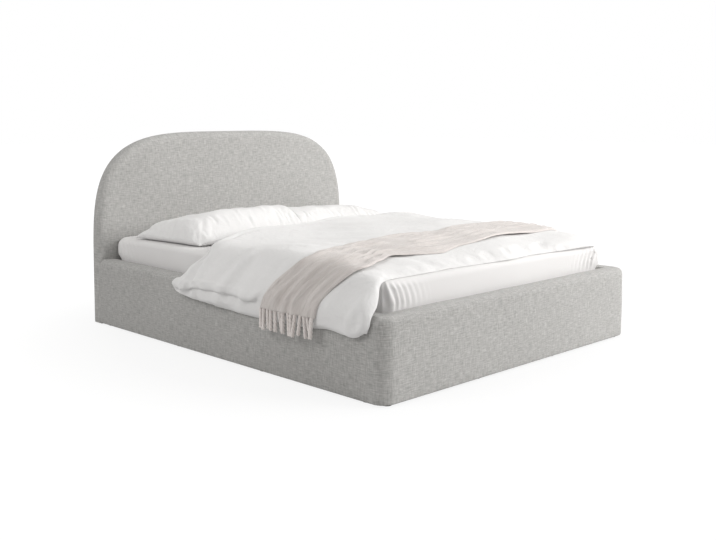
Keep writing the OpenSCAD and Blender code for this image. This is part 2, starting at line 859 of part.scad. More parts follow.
module end_tubes() {
    color(steel_colour) for (y = [frame_y0, frame_y1 - tube_w])
        tube_x(-side_tube_x, side_tube_x, y, tube_w);
}

module centre_tube() {
    color(steel_colour) tube_y(-centre_half, 2 * centre_half, frame_y0 + tube_w, frame_y1 - tube_w);
}

module cross_tubes() {
    color(steel_colour) both_sides() for (share = [1 / 3, 2 / 3])
        tube_x(centre_half, side_tube_x, frame_y0 + share * (frame_y1 - frame_y0), tube_w);
}

slat_rise = 9;
slat_z = tube_top_z + slat_rise;
slat_end_x = side_tube_x + tube_w - 4 * tube_wall;
slat_start_x = 3;
holder_wall = 2;

function slat_y(i) =
    frame_y0 + tube_w + holder_wall
    + i * (frame_y1 - frame_y0 - 2 * tube_w - 2 * holder_wall - slat_w) / (slat_count - 1);

module slats() {
    color(wood_colour) both_sides() for (i = [0 : slat_count - 1])
        box_between([slat_start_x, slat_y(i), slat_z], [slat_end_x, slat_y(i) + slat_w, slat_z + slat_t]);
}

module slat_holders() {
    depth = tube_w - 2 * tube_wall;
    color(plastic_colour) for (i = [0 : slat_count - 1]) {
        y0 = slat_y(i) - holder_wall;
        y1 = slat_y(i) + slat_w + holder_wall;
        both_sides() difference() {
            box_between([slat_end_x + holder_wall - depth, y0, tube_top_z],
                [slat_end_x + holder_wall, y1, platform_z]);
            box_between([slat_start_x, slat_y(i), slat_z],
                [slat_end_x, slat_y(i) + slat_w, slat_z + slat_t]);
        }
        difference() {
            box_between([-centre_half, y0, tube_top_z], [centre_half, y1, platform_z]);
            both_sides() box_between([slat_start_x, slat_y(i), slat_z],
                [centre_half + over, slat_y(i) + slat_w, slat_z + slat_t]);
        }
    }
}

stop_half = 250;
stop_bar = 25;
stop_t = 4;
stop_rise = 50;

// Hoop that keeps the mattress on the platform when the foot end is up
module mattress_stop() {
    y1 = mattress_foot_y - sheet_t - rest_gap;
    low = tube_top_z - stop_bar;
    high = platform_z + stop_rise;
    color(steel_colour) {
        both_sides() {
            box_between([stop_half - stop_bar, y1 - stop_t, low], [stop_half, y1, high]);
            box_between([stop_half - stop_bar, y1, low], [stop_half, frame_y0, tube_top_z - tube_wall]);
        }
        box_between([-stop_half, y1 - stop_t, high], [stop_half, y1, high + stop_bar]);
    }
}

// Bedding

mattress_foot_y = foot_in_y + end_gap;
mattress_mid_y = (foot_in_y + head_y) / 2;
corner_steps = 5;

// Rounded rectangle as a ring of points
function plan_ring(w, l, r, mid_y, z) = [
    for (q = [0 : 3], k = [0 : corner_steps])
        let (a = 90 * q + 90 * k / corner_steps,
            sx = (q == 0 || q == 3) ? 1 : -1,
            sy = (q < 2) ? 1 : -1)
        [sx * (w / 2 - r) + r * cos(a), mid_y + sy * (l / 2 - r) + r * sin(a), z]
];

// Mattress block with rounded corners and softened top edges, grown by a skin
module bed_block(grow, low_z) {
    w = mattress_w + 2 * grow;
    l = mattress_l + 2 * grow;
    r = sheet_corner_r + grow;
    edge = sheet_edge_r + grow;
    top = platform_z + mattress_h + grow;
    loft(concat(
        [plan_ring(w, l, r, mattress_mid_y, low_z)],
        [for (k = [0 : 4]) let (a = 22.5 * k, in = edge * (1 - cos(a)))
            plan_ring(w - 2 * in, l - 2 * in, r - in, mattress_mid_y, top - edge + edge * sin(a))]));
}

module mattress() {
    color(linen_colour) bed_block(0, platform_z);
}

module fitted_sheet() {
    color(linen_colour) difference() {
        bed_block(sheet_t, platform_z);
        bed_block(0, platform_z - over);
    }
}

// Power of a sine or cosine that keeps its sign
function curve(v, e) = sign(v) * pow(abs(v), e);

pillow_steps = 36;
pillow_levels = 9;
pillow_draw_share = 0.05;
pillow_seam_share = 0.4;
// Where the pillow's flat seat cuts its underside, in its height
pillow_floor_share = pillow_seam_share * (1 - cos(180 / (pillow_levels + 2)));
pillow_back_gap = 45;
pillow_shift = 100;
pillow_plump_share = 0.13;
duvet_head_gap = 12;

// Pillow with a crown, drawn-in sides and a flat seat. The left one lies further from the headboard
// and is plumper.
module pillow(side) {
    mid_x = side * (pillow_w / 2 + duvet_head_gap / 2);
    mid_y = head_y - pillow_back_gap - pillow_l / 2 - (side < 0 ? pillow_shift : 0);
    base_z = bed_top_z + rest_gap;
    high = pillow_h * (1 - side * pillow_plump_share);
    loft([for (k = [0 : pillow_levels])
        let (
            level = -cos(180 * (k + 1) / (pillow_levels + 2)),
            h = level < 0 ? pillow_seam_share * (1 + level)
                : pillow_seam_share + (1 - pillow_seam_share) * level,
            round = pow(1 - level * level, 0.56),
            e = 0.42 + 0.4 * abs(level))
        [for (i = [0 : pillow_steps - 1])
            let (
                a = 360 * i / pillow_steps,
                x = curve(cos(a), e),
                y = curve(sin(a), e),
                draw = 1 - pillow_draw_share * (1 - abs(sin(2 * a))))
            [mid_x + pillow_w / 2 * x * draw * round, mid_y + pillow_l / 2 * y * draw * round,
                base_z + high * (h - pillow_floor_share) / (1 - pillow_floor_share)]]]);
}

module pillow_right() { color(linen_colour) pillow(1); }
module pillow_left() { color(linen_colour) pillow(-1); }

// Duvet, as rows of points across the bed from head to foot

duvet_rows = 20;
duvet_foot_gap = 25;
duvet_foot_y = mattress_foot_y + duvet_foot_gap;
duvet_head_y = duvet_foot_y + duvet_l;
duvet_dip = 110;
duvet_head_tail = -45;
duvet_left_tail = 80;
duvet_right_tail = -40;
duvet_roll_share = 0.3;
duvet_thin_share = 0.3;
duvet_slant_share = 0.15;
duvet_bulge = 15;
duvet_hang_out = 8;
duvet_fold_h = 8;

// Across half the bed: share of the way along each side's path where the points lie
edge_x = mattress_w / 2;
hang_x = half_w + duvet_hang_out;
function soft(v) = 0.5 - 0.5 * cos(180 * min(1, max(0, v)));

function hang(x) = soft((abs(x) - 0.98 * edge_x) / (0.16 * edge_x));

// Head edge: at a slant in front of the pillows, drawn back along the mattress side, and reaching
// towards the head again where the duvet hangs
function head_edge(x) =
    let (dip = soft((abs(x) - 0.7 * edge_x) / (0.25 * edge_x)))
    duvet_head_y + (duvet_slant_share * x - duvet_dip * dip) * (1 - hang(x)) + duvet_head_tail * hang(x);

// Foot edge: straight across, reaching past the mattress where it hangs on the left
function foot_edge(x) = duvet_foot_y - (x < 0 ? duvet_left_tail : duvet_right_tail) * hang(x);

// Lower edge of the drop, turned up at both ends
function low_edge(v) =
    duvet_low_z + duvet_drop_t * (1.8 * soft((0.2 - v) / 0.2) + 1.4 * soft((v - 0.94) / 0.06));

// Loft on the mattress: rolled at the head edge, thinner towards the foot
function top_loft(v) =
    duvet_loft * (1 + duvet_roll_share * soft((0.16 - v) / 0.16) - duvet_thin_share * soft((v - 0.6) / 0.4));

// Underside points: flat on the sheet, over the mattress edge and the rail, then straight down
function under_path(v) = [
    [0, bed_top_z + rest_gap],
    [0.3 * edge_x, bed_top_z + rest_gap],
    [0.6 * edge_x, bed_top_z + rest_gap],
    [0.85 * edge_x, bed_top_z + rest_gap],
    [edge_x - sheet_edge_r, bed_top_z + rest_gap],
    [edge_x + side_gap, bed_top_z - duvet_hang_out / 2],
    [half_w - rail_edge_r, rail_h + rail_edge_r],
    [hang_x - rest_gap, rail_h],
    [hang_x, (rail_h + low_edge(v)) / 2],
    [hang_x, low_edge(v)]
];

// Top points over the same places
function over_path(v) =
    let (
        swell = duvet_bulge * (0.5 + 0.5 * cos(360 * 4 * v)) * soft((abs(v - 0.62) - 0.2) / 0.18),
        fold = duvet_fold_h * sin(360 * 3 * v),
        deep = top_loft(v),
        out = hang_x + duvet_drop_t + swell)
    [
        [0, bed_top_z + deep + fold],
        [0.3 * edge_x, bed_top_z + deep - fold],
        [0.6 * edge_x, bed_top_z + deep + fold / 2],
        [0.85 * edge_x, bed_top_z + 0.98 * deep],
        [edge_x - sheet_edge_r / 2, bed_top_z + 0.94 * deep],
        [edge_x + side_gap + 0.5 * duvet_drop_t, bed_top_z + 0.72 * deep],
        [half_w + duvet_hang_out / 2, rail_h + rail_edge_r + duvet_drop_t],
        [out - duvet_hang_out, rail_h + duvet_drop_t / 2],
        [out, (rail_h + low_edge(v)) / 2],
        [out - duvet_hang_out / 2, low_edge(v)]
    ];

function across(path, v) = [
    for (i = [len(path) - 1 : -1 : 1]) [-path[i][0], duvet_y(-path[i][0], v), path[i][1]],
    for (p = path) [p[0], duvet_y(p[0], v), p[1]]
];

function duvet_y(x, v) = head_edge(x) + (foot_edge(x) - head_edge(x)) * v;

module duvet() {
    rows = [for (k = [0 : duvet_rows]) k / duvet_rows];
    color(linen_colour)
        quilt([for (v = rows) across(over_path(v), v)], [for (v = rows) across(under_path(v), v)]);
}

// Throw, folded lengthwise and laid across the duvet

throw_rows = 5;
throw_mid_y = mattress_foot_y + throw_foot_gap;
throw_slant_share = 0.17;
throw_left_draw = 165;
throw_right_draw = -90;
throw_gather_share = 0.16;
throw_sink = 3;

// Place along the duvet of a point of the throw, as the share between head and foot
function throw_v(x, y) = (y - head_edge(x)) / (foot_edge(x) - head_edge(x));

// How far the throw's two ends are drawn along the bed at each point of the duvet's path
left_draw_shares = [0, 0, 0, 0, 0, 0.12, 0.5, 0.7, 0.85, 1];
right_draw_shares = [0, 0, 0.1, 0.6, 0.9, 1, 1, 1, 1, 1];

// How far the throw's thickness turns outwards, and its width is gathered, at each point of the path
out_shares = [0, 0, 0, 0.1, 0.35, 0.55, 0.7, 0.9, 1, 1];
function throw_y(i, side, s) =
    throw_mid_y + throw_slant_share * side * over_path(0.5)[i][0]
    + (side < 0 ? throw_left_draw * left_draw_shares[i] : throw_right_draw * right_draw_shares[i])
    + (s - 0.5) * throw_w * (1 - throw_gather_share * out_shares[i]);

// Point of the duvet's top path number i on one side, at a row of the throw
function throw_point(i, side, s, lift) =
    let (
        x0 = over_path(0.5)[i][0],
        y = throw_y(i, side, s),
        p = over_path(throw_v(side * x0, y))[i],
        out = lift * out_shares[i])
    i == 9
        ? [side * (p[0] + duvet_hang_out / 2 + out), y, throw_low_z]
        : [side * (p[0] + out), y, p[1] + lift - out];

function throw_row(s, lift) = [
    for (i = [9 : -1 : 1]) if (i != 8) throw_point(i, -1, s, lift),
    for (i = [0 : 9]) if (i != 8) throw_point(i, 1, s, lift)
];

module throw() {
    rows = [for (k = [0 : throw_rows]) 1 - k / throw_rows];
    color(throw_colour) difference() {
        quilt([for (s = rows) throw_row(s, throw_t)], [for (s = rows) throw_row(s, -throw_sink)]);
        duvet();
    }
}

tassel_r = 6.5;
knot_r = 7.2;
knot_h = 14;

// Tassels knotted along both hems of the throw
module throw_fringe() {
    color(throw_colour) for (side = [-1, 1], i = [0 : fringe_count - 1]) {
        s = (i + 0.5) / fringe_count;
        hem = throw_point(9, side, s, throw_t);
        x = hem[0] + side * (knot_r + rest_gap - throw_t);
        translate([x, hem[1], throw_low_z - knot_h]) cylinder(r = knot_r, h = knot_h);
        translate([x, hem[1], throw_low_z - fringe_l]) cylinder(r = tassel_r, h = fringe_l - knot_h);
    }
}

right_inner_board();
right_battens();
right_outer_board();
right_foam();
right_cover();
left_inner_board();
left_battens();
left_outer_board();
left_foam();
left_cover();
foot_inner_board();
foot_battens();
foot_outer_board();
foot_corner_posts();
foot_foam();
foot_cover();
head_battens();
head_panel();
head_foam();
head_cover();
head_back_cloth();
corner_brackets();
corner_bolts();
right_ledge();
left_ledge();
foot_ledge();
ledge_pads();
floor_battens();
floor_panels();
glides();
lift_base_plates();
base_pins();
lift_bolts();
long_arms();
strut_studs();
short_arms();
strut_cylinders();
strut_rods();
strut_pistons();
top_plates();
top_pins();
side_tubes();
end_tubes();
cross_tubes();
centre_tube();
slats();
slat_holders();
mattress_stop();
mattress();
fitted_sheet();
pillow_right();
pillow_left();
duvet();
throw();
throw_fringe();
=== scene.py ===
import math

import bmesh
import bpy
import numpy as np
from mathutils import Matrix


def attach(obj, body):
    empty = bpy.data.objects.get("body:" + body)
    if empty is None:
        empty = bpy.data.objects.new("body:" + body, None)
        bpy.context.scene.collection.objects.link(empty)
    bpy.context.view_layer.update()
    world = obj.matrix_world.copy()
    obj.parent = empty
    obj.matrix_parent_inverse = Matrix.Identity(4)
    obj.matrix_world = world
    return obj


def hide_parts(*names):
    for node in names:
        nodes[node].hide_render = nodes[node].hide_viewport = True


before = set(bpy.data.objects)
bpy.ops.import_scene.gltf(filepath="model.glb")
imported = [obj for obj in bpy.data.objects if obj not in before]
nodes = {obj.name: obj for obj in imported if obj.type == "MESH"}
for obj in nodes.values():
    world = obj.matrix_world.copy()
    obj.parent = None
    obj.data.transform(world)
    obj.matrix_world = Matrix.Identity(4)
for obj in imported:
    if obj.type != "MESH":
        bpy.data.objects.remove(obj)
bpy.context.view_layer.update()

# --- Camera, floor and studio light ---
# The bed stands on a pale seamless floor and is seen from its foot end, left of the middle.
# A large soft lamp stands to the right of the foot end, with weaker ones overhead and to the left.

scene = bpy.context.scene
camera = bpy.data.objects.new("camera", bpy.data.cameras.new("camera"))
camera_down, camera_turn = 4.6054, 44.5415
camera.location = (-3.5123, -3.6143, 1.1413)
camera.rotation_euler = (math.radians(90 - camera_down), 0, math.radians(-camera_turn))
camera.data.sensor_width = 36
camera.data.lens = 48.33
camera.data.shift_y = -0.11
scene.collection.objects.link(camera)
scene.camera = camera
scene.view_settings.view_transform = "Standard"


def put(tree, kind, inputs=None, **settings):
    """One node of a node tree. An input takes a number, a colour or another node's output."""
    made = tree.nodes.new(kind)
    for name, value in settings.items():
        setattr(made, name, value)
    for name, value in (inputs or {}).items():
        if isinstance(value, bpy.types.NodeSocket):
            tree.links.new(value, made.inputs[name])
        else:
            made.inputs[name].default_value = value
    return made


def summed(tree, first, second, operation="ADD"):
    """Sum, or another calculation, of two values."""
    return put(tree, "ShaderNodeMath", {0: first, 1: second}, operation=operation).outputs[0]


def seen_directly(tree):
    """1 for what the camera sees straight, in a mirror or through glass."""
    path = put(tree, "ShaderNodeLightPath").outputs
    first = summed(tree, path["Is Camera Ray"], path["Is Glossy Ray"], "MAXIMUM")
    return summed(tree, first, path["Is Transmission Ray"], "MAXIMUM")


def on_object(tree):
    """Place in the object's own coordinates."""
    return put(tree, "ShaderNodeTexCoord").outputs["Object"]


# Strength of the room's light, grey of the floor, and the floor's own glow, which fades to white from
# near the bed to further out, so that only the shadow near the bed shows
room_light, floor_grey, floor_glow = 0.38, 0.70, 1.06
shadow_near, shadow_far, least_glow = 1.2, 2.3, 0.80

world = bpy.data.worlds.new("studio")
scene.world = world
world.use_nodes = True
sky = world.node_tree
sky.nodes.clear()
room = put(sky, "ShaderNodeBackground", {"Color": (1, 0.985, 0.965, 1), "Strength": room_light})
white = put(sky, "ShaderNodeBackground", {"Color": (1, 1, 1, 1), "Strength": 1.0})
picked = put(sky, "ShaderNodeMixShader", {0: seen_directly(sky), 1: room.outputs[0], 2: white.outputs[0]})
put(sky, "ShaderNodeOutputWorld", {"Surface": picked.outputs[0]})

floor_half = 30.0
floor_mesh = bpy.data.meshes.new("floor")
floor_corners = [(x * floor_half, y * floor_half, 0) for x, y in ((-1, -1), (1, -1), (1, 1), (-1, 1))]
floor_mesh.from_pydata(floor_corners, [], [(0, 1, 2, 3)])
floor = bpy.data.objects.new("floor", floor_mesh)
scene.collection.objects.link(floor)
floor_paint = bpy.data.materials.new("floor_paint")
floor_paint.use_nodes = True
tree = floor_paint.node_tree
tree.nodes.clear()
matt = put(tree, "ShaderNodeBsdfDiffuse", {"Color": (floor_grey, floor_grey, floor_grey, 1)})
glow = put(tree, "ShaderNodeEmission", {"Color": (1, 1, 1, 1), "Strength": floor_glow})
far = put(tree, "ShaderNodeVectorMath", {0: on_object(tree)}, operation="LENGTH").outputs["Value"]
faded = put(tree, "ShaderNodeMapRange", {"Value": far, "From Min": shadow_near, "From Max": shadow_far,
                                         "To Min": least_glow, "To Max": 1.0})
share = summed(tree, seen_directly(tree), faded.outputs[0], "MULTIPLY")
shown = put(tree, "ShaderNodeMixShader", {0: share, 1: matt.outputs[0], 2: glow.outputs[0]})
put(tree, "ShaderNodeOutputMaterial", {"Surface": shown.outputs[0]})
floor_mesh.materials.append(floor_paint)


def soft_lamp(name, place, aim, size, watts):
    """Square studio lamp that faces a point."""
    lamp = bpy.data.objects.new(name, bpy.data.lights.new(name, "AREA"))
    lamp.data.shape = "SQUARE"
    lamp.data.size = size
    lamp.data.energy = watts
    lamp.data.color = (1, 0.992, 0.98)
    lamp.location = place
    away = np.array(place, float) - np.array(aim, float)
    lamp.rotation_euler = (math.atan2(math.hypot(away[0], away[1]), away[2]), 0,
                           math.atan2(away[1], away[0]) + math.pi / 2)
    scene.collection.objects.link(lamp)


soft_lamp("key_lamp", (4.6, -7.4, 3.9), (0.2, -0.5, 0.3), 4.4, 520)
soft_lamp("side_lamp", (3.3, -2.2, 2.0), (0.5, 0.6, 0.6), 1.8, 64)
soft_lamp("top_lamp", (0.4, 0.2, 4.2), (0, 0, 0.4), 3.5, 30)
soft_lamp("fill_lamp", (-4.2, 0.3, 2.9), (-0.9, -0.1, 0.3), 2.0, 58)

# --- Boards, battens and posts inside the rails and the headboard ---
# Each rail is a ladder of pine battens glued between two chipboards, and the headboard is a pine frame
# behind a chipboard panel. They are sawn square, glued and stapled before the foam goes on.


def new_material(name, roughness, **sockets):
    """Material with its shader, whose plain numbers sit on the shader's own sockets."""
    made = bpy.data.materials.new(name)
    made.use_nodes = True
    shader = made.node_tree.nodes["Principled BSDF"]
    shader.inputs["Roughness"].default_value = roughness
    for socket, value in sockets.items():
        shader.inputs[socket.replace("_", " ")].default_value = value
    return made, made.node_tree, shader


def stretched(tree, vector, x, y, z):
    """A place multiplied along its three axes, so that a pattern runs in one direction."""
    return put(tree, "ShaderNodeVectorMath", {0: vector, 1: (x, y, z)}, operation="MULTIPLY").outputs[0]


def noise(tree, vector, scale=1.0, detail=2.0, rough=0.5, low=0.3, high=0.7, twist=0.0):
    """Smooth random pattern spread from 0 to 1."""
    raw = put(tree, "ShaderNodeTexNoise",
              {"Vector": vector, "Scale": scale, "Detail": detail, "Roughness": rough, "Distortion": twist})
    return put(tree, "ShaderNodeMapRange",
               {"Value": raw.outputs["Fac"], "From Min": low, "From Max": high}).outputs[0]


def weighed(tree, *parts):
    """Sum of patterns, each with its weight."""
    total, *rest = [summed(tree, pattern, weight, "MULTIPLY") for pattern, weight in parts]
    for part in rest:
        total = summed(tree, total, part)
    return total


def waved(tree, value, turn):
    """Waves along a value, with so many radians in its unit."""
    turned = summed(tree, value, turn, "MULTIPLY")
    return put(tree, "ShaderNodeMath", {0: turned}, operation="SINE").outputs[0]


def mixed(tree, share, first, second):
    """Two colours mixed by a share."""
    made = put(tree, "ShaderNodeMix", {0: share, 6: (*first, 1), 7: (*second, 1)}, data_type="RGBA")
    return made.outputs[2]


def coloured(tree, shader, share, first, second):
    """Base colour that a pattern mixes from two colours."""
    tree.links.new(mixed(tree, share, first, second), shader.inputs["Base Color"])


def scaled(colour, factor, more=0.0):
    """A colour made lighter or darker."""
    return tuple(min(1.0, c * factor + more) for c in colour)


def raised(tree, shader, height, distance, strength=1.0, under=None):
    """Relief on the surface, over an earlier relief if there is one."""
    made = put(tree, "ShaderNodeBump", {"Height": height, "Distance": distance, "Strength": strength})
    if under is not None:
        tree.links.new(under, made.inputs["Normal"])
    tree.links.new(made.outputs[0], shader.inputs["Normal"])
    return made.outputs[0]


def timber(name, dark, light, along, roughness=0.62):
    """Planed wood with its grain along one axis."""
    made, tree, shader = new_material(name, roughness)
    place = on_object(tree)
    growth, fibre = ([slow if axis == along else fast for axis in range(3)]
                     for slow, fast in ((1.7, 52), (9, 420)))
    rings = noise(tree, stretched(tree, place, *growth), detail=5, rough=0.62, twist=0.7)
    fine = noise(tree, stretched(tree, place, *fibre), detail=3)
    shade = put(tree, "ShaderNodeMapRange", {"Value": fine, "To Min": 0.86, "To Max": 1.04}).outputs[0]
    tinted = put(tree, "ShaderNodeVectorMath", {0: mixed(tree, rings, dark, light), "Scale": shade},
                 operation="SCALE").outputs[0]
    tree.links.new(tinted, shader.inputs["Base Color"])
    raised(tree, shader, summed(tree, rings, fine), 0.0004, 0.6)
    return made


def chipboard(name, dark, light, grain=240.0, roughness=0.8):
    """Pressed board of wood chips or fibres."""
    made, tree, shader = new_material(name, roughness)
    place = on_object(tree)
    chips = put(tree, "ShaderNodeTexVoronoi", {"Vector": place, "Scale": grain, "Randomness": 1.0})
    flake = put(tree, "ShaderNodeSeparateColor", {0: chips.outputs["Color"]}).outputs[0]
    broad = noise(tree, place, scale=6.0, detail=3)
    coloured(tree, shader, weighed(tree, (flake, 0.75), (broad, 0.25)), dark, light)
    raised(tree, shader, chips.outputs["Distance"], 0.0005, 0.5)
    return made


def give(material, *names):
    """Puts a material on CAD nodes."""
    for name in names:
        nodes[name].data.materials.clear()
        nodes[name].data.materials.append(material)


pine = (0.52, 0.33, 0.16), (0.71, 0.52, 0.30)
pine_along_bed = timber("pine_along_bed", *pine, 1)
pine_across_bed = timber("pine_across_bed", *pine, 0)
pine_upright = timber("pine_upright", *pine, 2)
raw_chipboard = chipboard("raw_chipboard", (0.36, 0.24, 0.13), (0.68, 0.53, 0.34))
give(pine_along_bed, "left_battens", "right_battens")
give(pine_across_bed, "foot_battens", "head_battens")
give(pine_upright, "foot_corner_posts")
give(raw_chipboard, "left_inner_board", "left_outer_board", "right_inner_board", "right_outer_board",
     "foot_inner_board", "foot_outer_board", "head_panel")

# --- Corner brackets and their bolts ---
# Folded steel angles bolt the rails to each other and to the headboard from the storage side.
# The brackets are powder coated black, the bolts are zinc plated.


def powder_coat(name, colour, roughness=0.42):
    """Baked paint on steel: fine orange peel, slightly rubbed."""
    made, tree, shader = new_material(name, roughness, Specular_IOR_Level=0.45)
    place = on_object(tree)
    rubbed = noise(tree, place, scale=14.0, detail=6, rough=0.7, low=0.35, high=0.8)
    coloured(tree, shader, rubbed, colour, scaled(colour, 2.1, 0.008))
    raised(tree, shader, noise(tree, place, scale=900.0), 0.0002, 0.5)
    return made


def plated(name, colour):
    """Zinc plating with its faint cloudy spangle and drawn lines."""
    made, tree, shader = new_material(name, 0.34, Metallic=1.0)
    place = on_object(tree)
    cloud = put(tree, "ShaderNodeTexVoronoi", {"Vector": place, "Scale": 160.0})
    spangle = put(tree, "ShaderNodeSeparateColor", {0: cloud.outputs["Color"]}).outputs[1]
    coloured(tree, shader, spangle, scaled(colour, 0.72), colour)
    raised(tree, shader, noise(tree, stretched(tree, place, 40, 900, 900)), 0.00005, 0.4)
    return made


black_steel = powder_coat("black_steel", (0.018, 0.018, 0.02))
zinc = plated("zinc_plate", (0.66, 0.67, 0.69))
give(black_steel, "corner_brackets")
give(zinc, "corner_bolts")

# --- Ledges, storage floor and glides ---
# Pine ledges with rubber pads carry the lowered platform. The floor of the storage space is two
# hardboard panels on five battens, and the whole frame stands on moulded plastic glides.


def moulded(name, colour, roughness=0.5):
    """Moulded plastic or rubber with a spark-eroded grain."""
    made, tree, shader = new_material(name, roughness)
    place = on_object(tree)
    coloured(tree, shader, noise(tree, place, scale=9.0, detail=4), colour, scaled(colour, 1.5, 0.006))
    raised(tree, shader, noise(tree, place, scale=700.0), 0.00025, 0.6)
    return made


hardboard = chipboard("hardboard", (0.26, 0.15, 0.08), (0.42, 0.27, 0.15), grain=900.0, roughness=0.55)
rubber = moulded("rubber_pad", (0.016, 0.016, 0.016), 0.85)
black_plastic = moulded("black_plastic", (0.02, 0.02, 0.022))
give(pine_along_bed, "left_ledge", "right_ledge")
give(pine_across_bed, "foot_ledge", "floor_battens")
give(rubber, "ledge_pads")
give(hardboard, "floor_panels")
give(black_plastic, "glides")

# --- Upholstery of the rails ---
# Foam is glued round each rail, and a structured linen weave is pulled over it, turned in over the
# top and under the rail and stapled. The foot rail's cover runs round both corners without a seam.

cover_pitch = 0.0032


def on_cloth(tree):
    """Place on the piece's own cloth map, in metres."""
    return put(tree, "ShaderNodeUVMap", uv_map="cloth").outputs["UV"]


def woven_cover(name, dark, light):
    """Structured weave with slubs in warp and weft, on the piece's own cloth map."""
    made, tree, shader = new_material(name, 0.92, Specular_IOR_Level=0.2, Sheen_Weight=0.25,
                                      Sheen_Roughness=0.5)
    cloth = on_cloth(tree)
    weft = noise(tree, stretched(tree, cloth, 27, 210, 1), detail=3, rough=0.6, low=0.33, high=0.67)
    warp = noise(tree, stretched(tree, cloth, 180, 26, 1), detail=3, rough=0.6, low=0.33, high=0.67)
    fine = noise(tree, stretched(tree, cloth, 620, 620, 1), detail=2)
    broad = noise(tree, cloth, scale=2.6, detail=4, low=0.25, high=0.75)
    parts = put(tree, "ShaderNodeSeparateXYZ", {0: cloth})
    turn = 2 * math.pi / cover_pitch
    knots = summed(tree, *(waved(tree, parts.outputs[k], turn) for k in (0, 1)), "MULTIPLY")
    slubs = weighed(tree, (weft, 0.40), (warp, 0.33))
    coloured(tree, shader, summed(tree, slubs, weighed(tree, (fine, 0.20), (broad, 0.07))), dark, light)
    raised(tree, shader, summed(tree, slubs, weighed(tree, (fine, 1.0), (knots, 0.2))), 0.0016, 0.55)
    return made


def make_piece(name, points, faces, cloth, material, sharp=50):
    """Closed mesh with its cloth map, its doubles merged and its faces turned outwards."""
    mesh = bpy.data.meshes.new(name)
    mesh.from_pydata(points.reshape(-1, 3).tolist(), [], faces)
    mesh.uv_layers.new(name="cloth").data.foreach_set("uv", cloth.astype(np.float32).reshape(-1))
    work = bmesh.new()
    work.from_mesh(mesh)
    bmesh.ops.remove_doubles(work, verts=work.verts, dist=0.00002)
    bmesh.ops.dissolve_degenerate(work, edges=work.edges, dist=0.00001)
    bmesh.ops.recalc_face_normals(work, faces=work.faces)
    work.to_mesh(mesh)
    work.free()
    mesh.shade_smooth()
    mesh.set_sharp_from_angle(angle=math.radians(sharp))
    made = bpy.data.objects.new(name, mesh)
    scene.collection.objects.link(made)
    mesh.materials.append(material)
    return made


def quads(rows, cols, wrap=False):
    """Faces of a sheet of points given row by row."""
    i, j = np.meshgrid(np.arange(rows - 1), np.arange(cols if wrap else cols - 1), indexing="ij")
    k = (j + 1) % cols
    return np.stack([i * cols + j, i * cols + k, (i + 1) * cols + k, (i + 1) * cols + j], -1).reshape(-1, 4)


def swept(name, rings, cloth, material):
    """Closed piece through equal rings of points. The cloth map has one column more than a ring."""
    rows, cols = rings.shape[:2]
    i, j = np.meshgrid(np.arange(rows - 1), np.arange(cols), indexing="ij")
    corners = np.stack([cloth[i, j], cloth[i, j + 1], cloth[i + 1, j + 1], cloth[i + 1, j]], 2).reshape(-1, 2)
    caps = [list(range(cols)), list(range((rows - 1) * cols, rows * cols))]
    return make_piece(name, rings, quads(rows, cols, wrap=True).tolist() + caps,
                      np.concatenate([corners, cloth[0, :cols], cloth[-1, :cols]]), material)


def bend(centre, radius, first, last, steps):
    """Points of an arc with their outward directions."""
    angles = np.radians(np.linspace(first, last, steps + 1))
    out = np.stack([np.cos(angles), np.sin(angles)], 1)
    return np.concatenate([np.array(centre) + radius * out, out], 1)


def run(start, end, out, steps):
    """Points of a straight stretch after its start, with their outward direction."""
    shares = np.linspace(0, 1, steps + 1)[1:-1, None]
    line = np.array(start) + shares * (np.array(end) - np.array(start))
    return np.concatenate([line, np.tile(out, (len(line), 1))], 1)


half_w, foot_y, head_y = 0.9, -1.1, 1.02
rail_t, rail_h, glide_h = 0.09, 0.355, 0.008
top_r, inner_r, base_r, corner_r = 0.028, 0.012, 0.012, 0.065
turned_z, cloth_t, core_p, core_top = 0.295, 0.003, 0.015, 0.340
crown, turned_under = 0.0022, 0.05

# Depths in a rail between which its flat top follows the outer edge, the corner and the inner edge
edge_d, shoulder_d = 0.03, 0.075
inner_step = rail_t - shoulder_d

# Section of a rail as depth from its outer face, height, and the outward direction of each
outside = np.concatenate([
    bend((base_r, glide_h + base_r), base_r, -90, -180, 5),
    run((0, glide_h + base_r), (0, rail_h - top_r), (-1, 0), 18),
    bend((top_r, rail_h - top_r), top_r, 180, 90, 9),
    run((top_r, rail_h), (rail_t - inner_r, rail_h), (0, 1), 6),
    bend((rail_t - inner_r, rail_h - inner_r), inner_r, 90, 0, 5),
    run((rail_t, rail_h - inner_r), (rail_t, turned_z), (1, 0), 4)])
inside = np.array([
    (rail_t, turned_z), (rail_t - cloth_t, turned_z), (rail_t - cloth_t, core_top), (core_p, core_top),
    (core_p, glide_h + cloth_t), (rail_t, glide_h + cloth_t), (rail_t, glide_h), (turned_under, glide_h)])
section = np.concatenate([outside, np.concatenate([inside, np.zeros((len(inside), 2))], 1)])
around = np.concatenate([[0], np.cumsum(np.hypot(*np.diff(np.concatenate(
    [section[:, :2], section[:1, :2]]), axis=0).T))])


def padding(s, depth, height):
    """How far the foam stands proud: a slight crown, and the small unevenness of hand upholstery."""
    face = np.clip(np.sin(np.pi * (height - glide_h) / (rail_h - glide_h)), 0, 1)
    top = np.clip((height - rail_h + edge_d) / edge_d, 0, 1)
    uneven = (0.9 * np.sin(5.3 * s + 1.2) * np.sin(9.0 * height + 0.5)
              + 0.6 * np.sin(11.7 * s + 21 * height + 0.3) + 0.4 * np.sin(23.1 * s - 17 * depth + 2.1))
    return crown * face + 0.0008 * top + 0.0007 * uneven * np.clip(face + top, 0, 1)


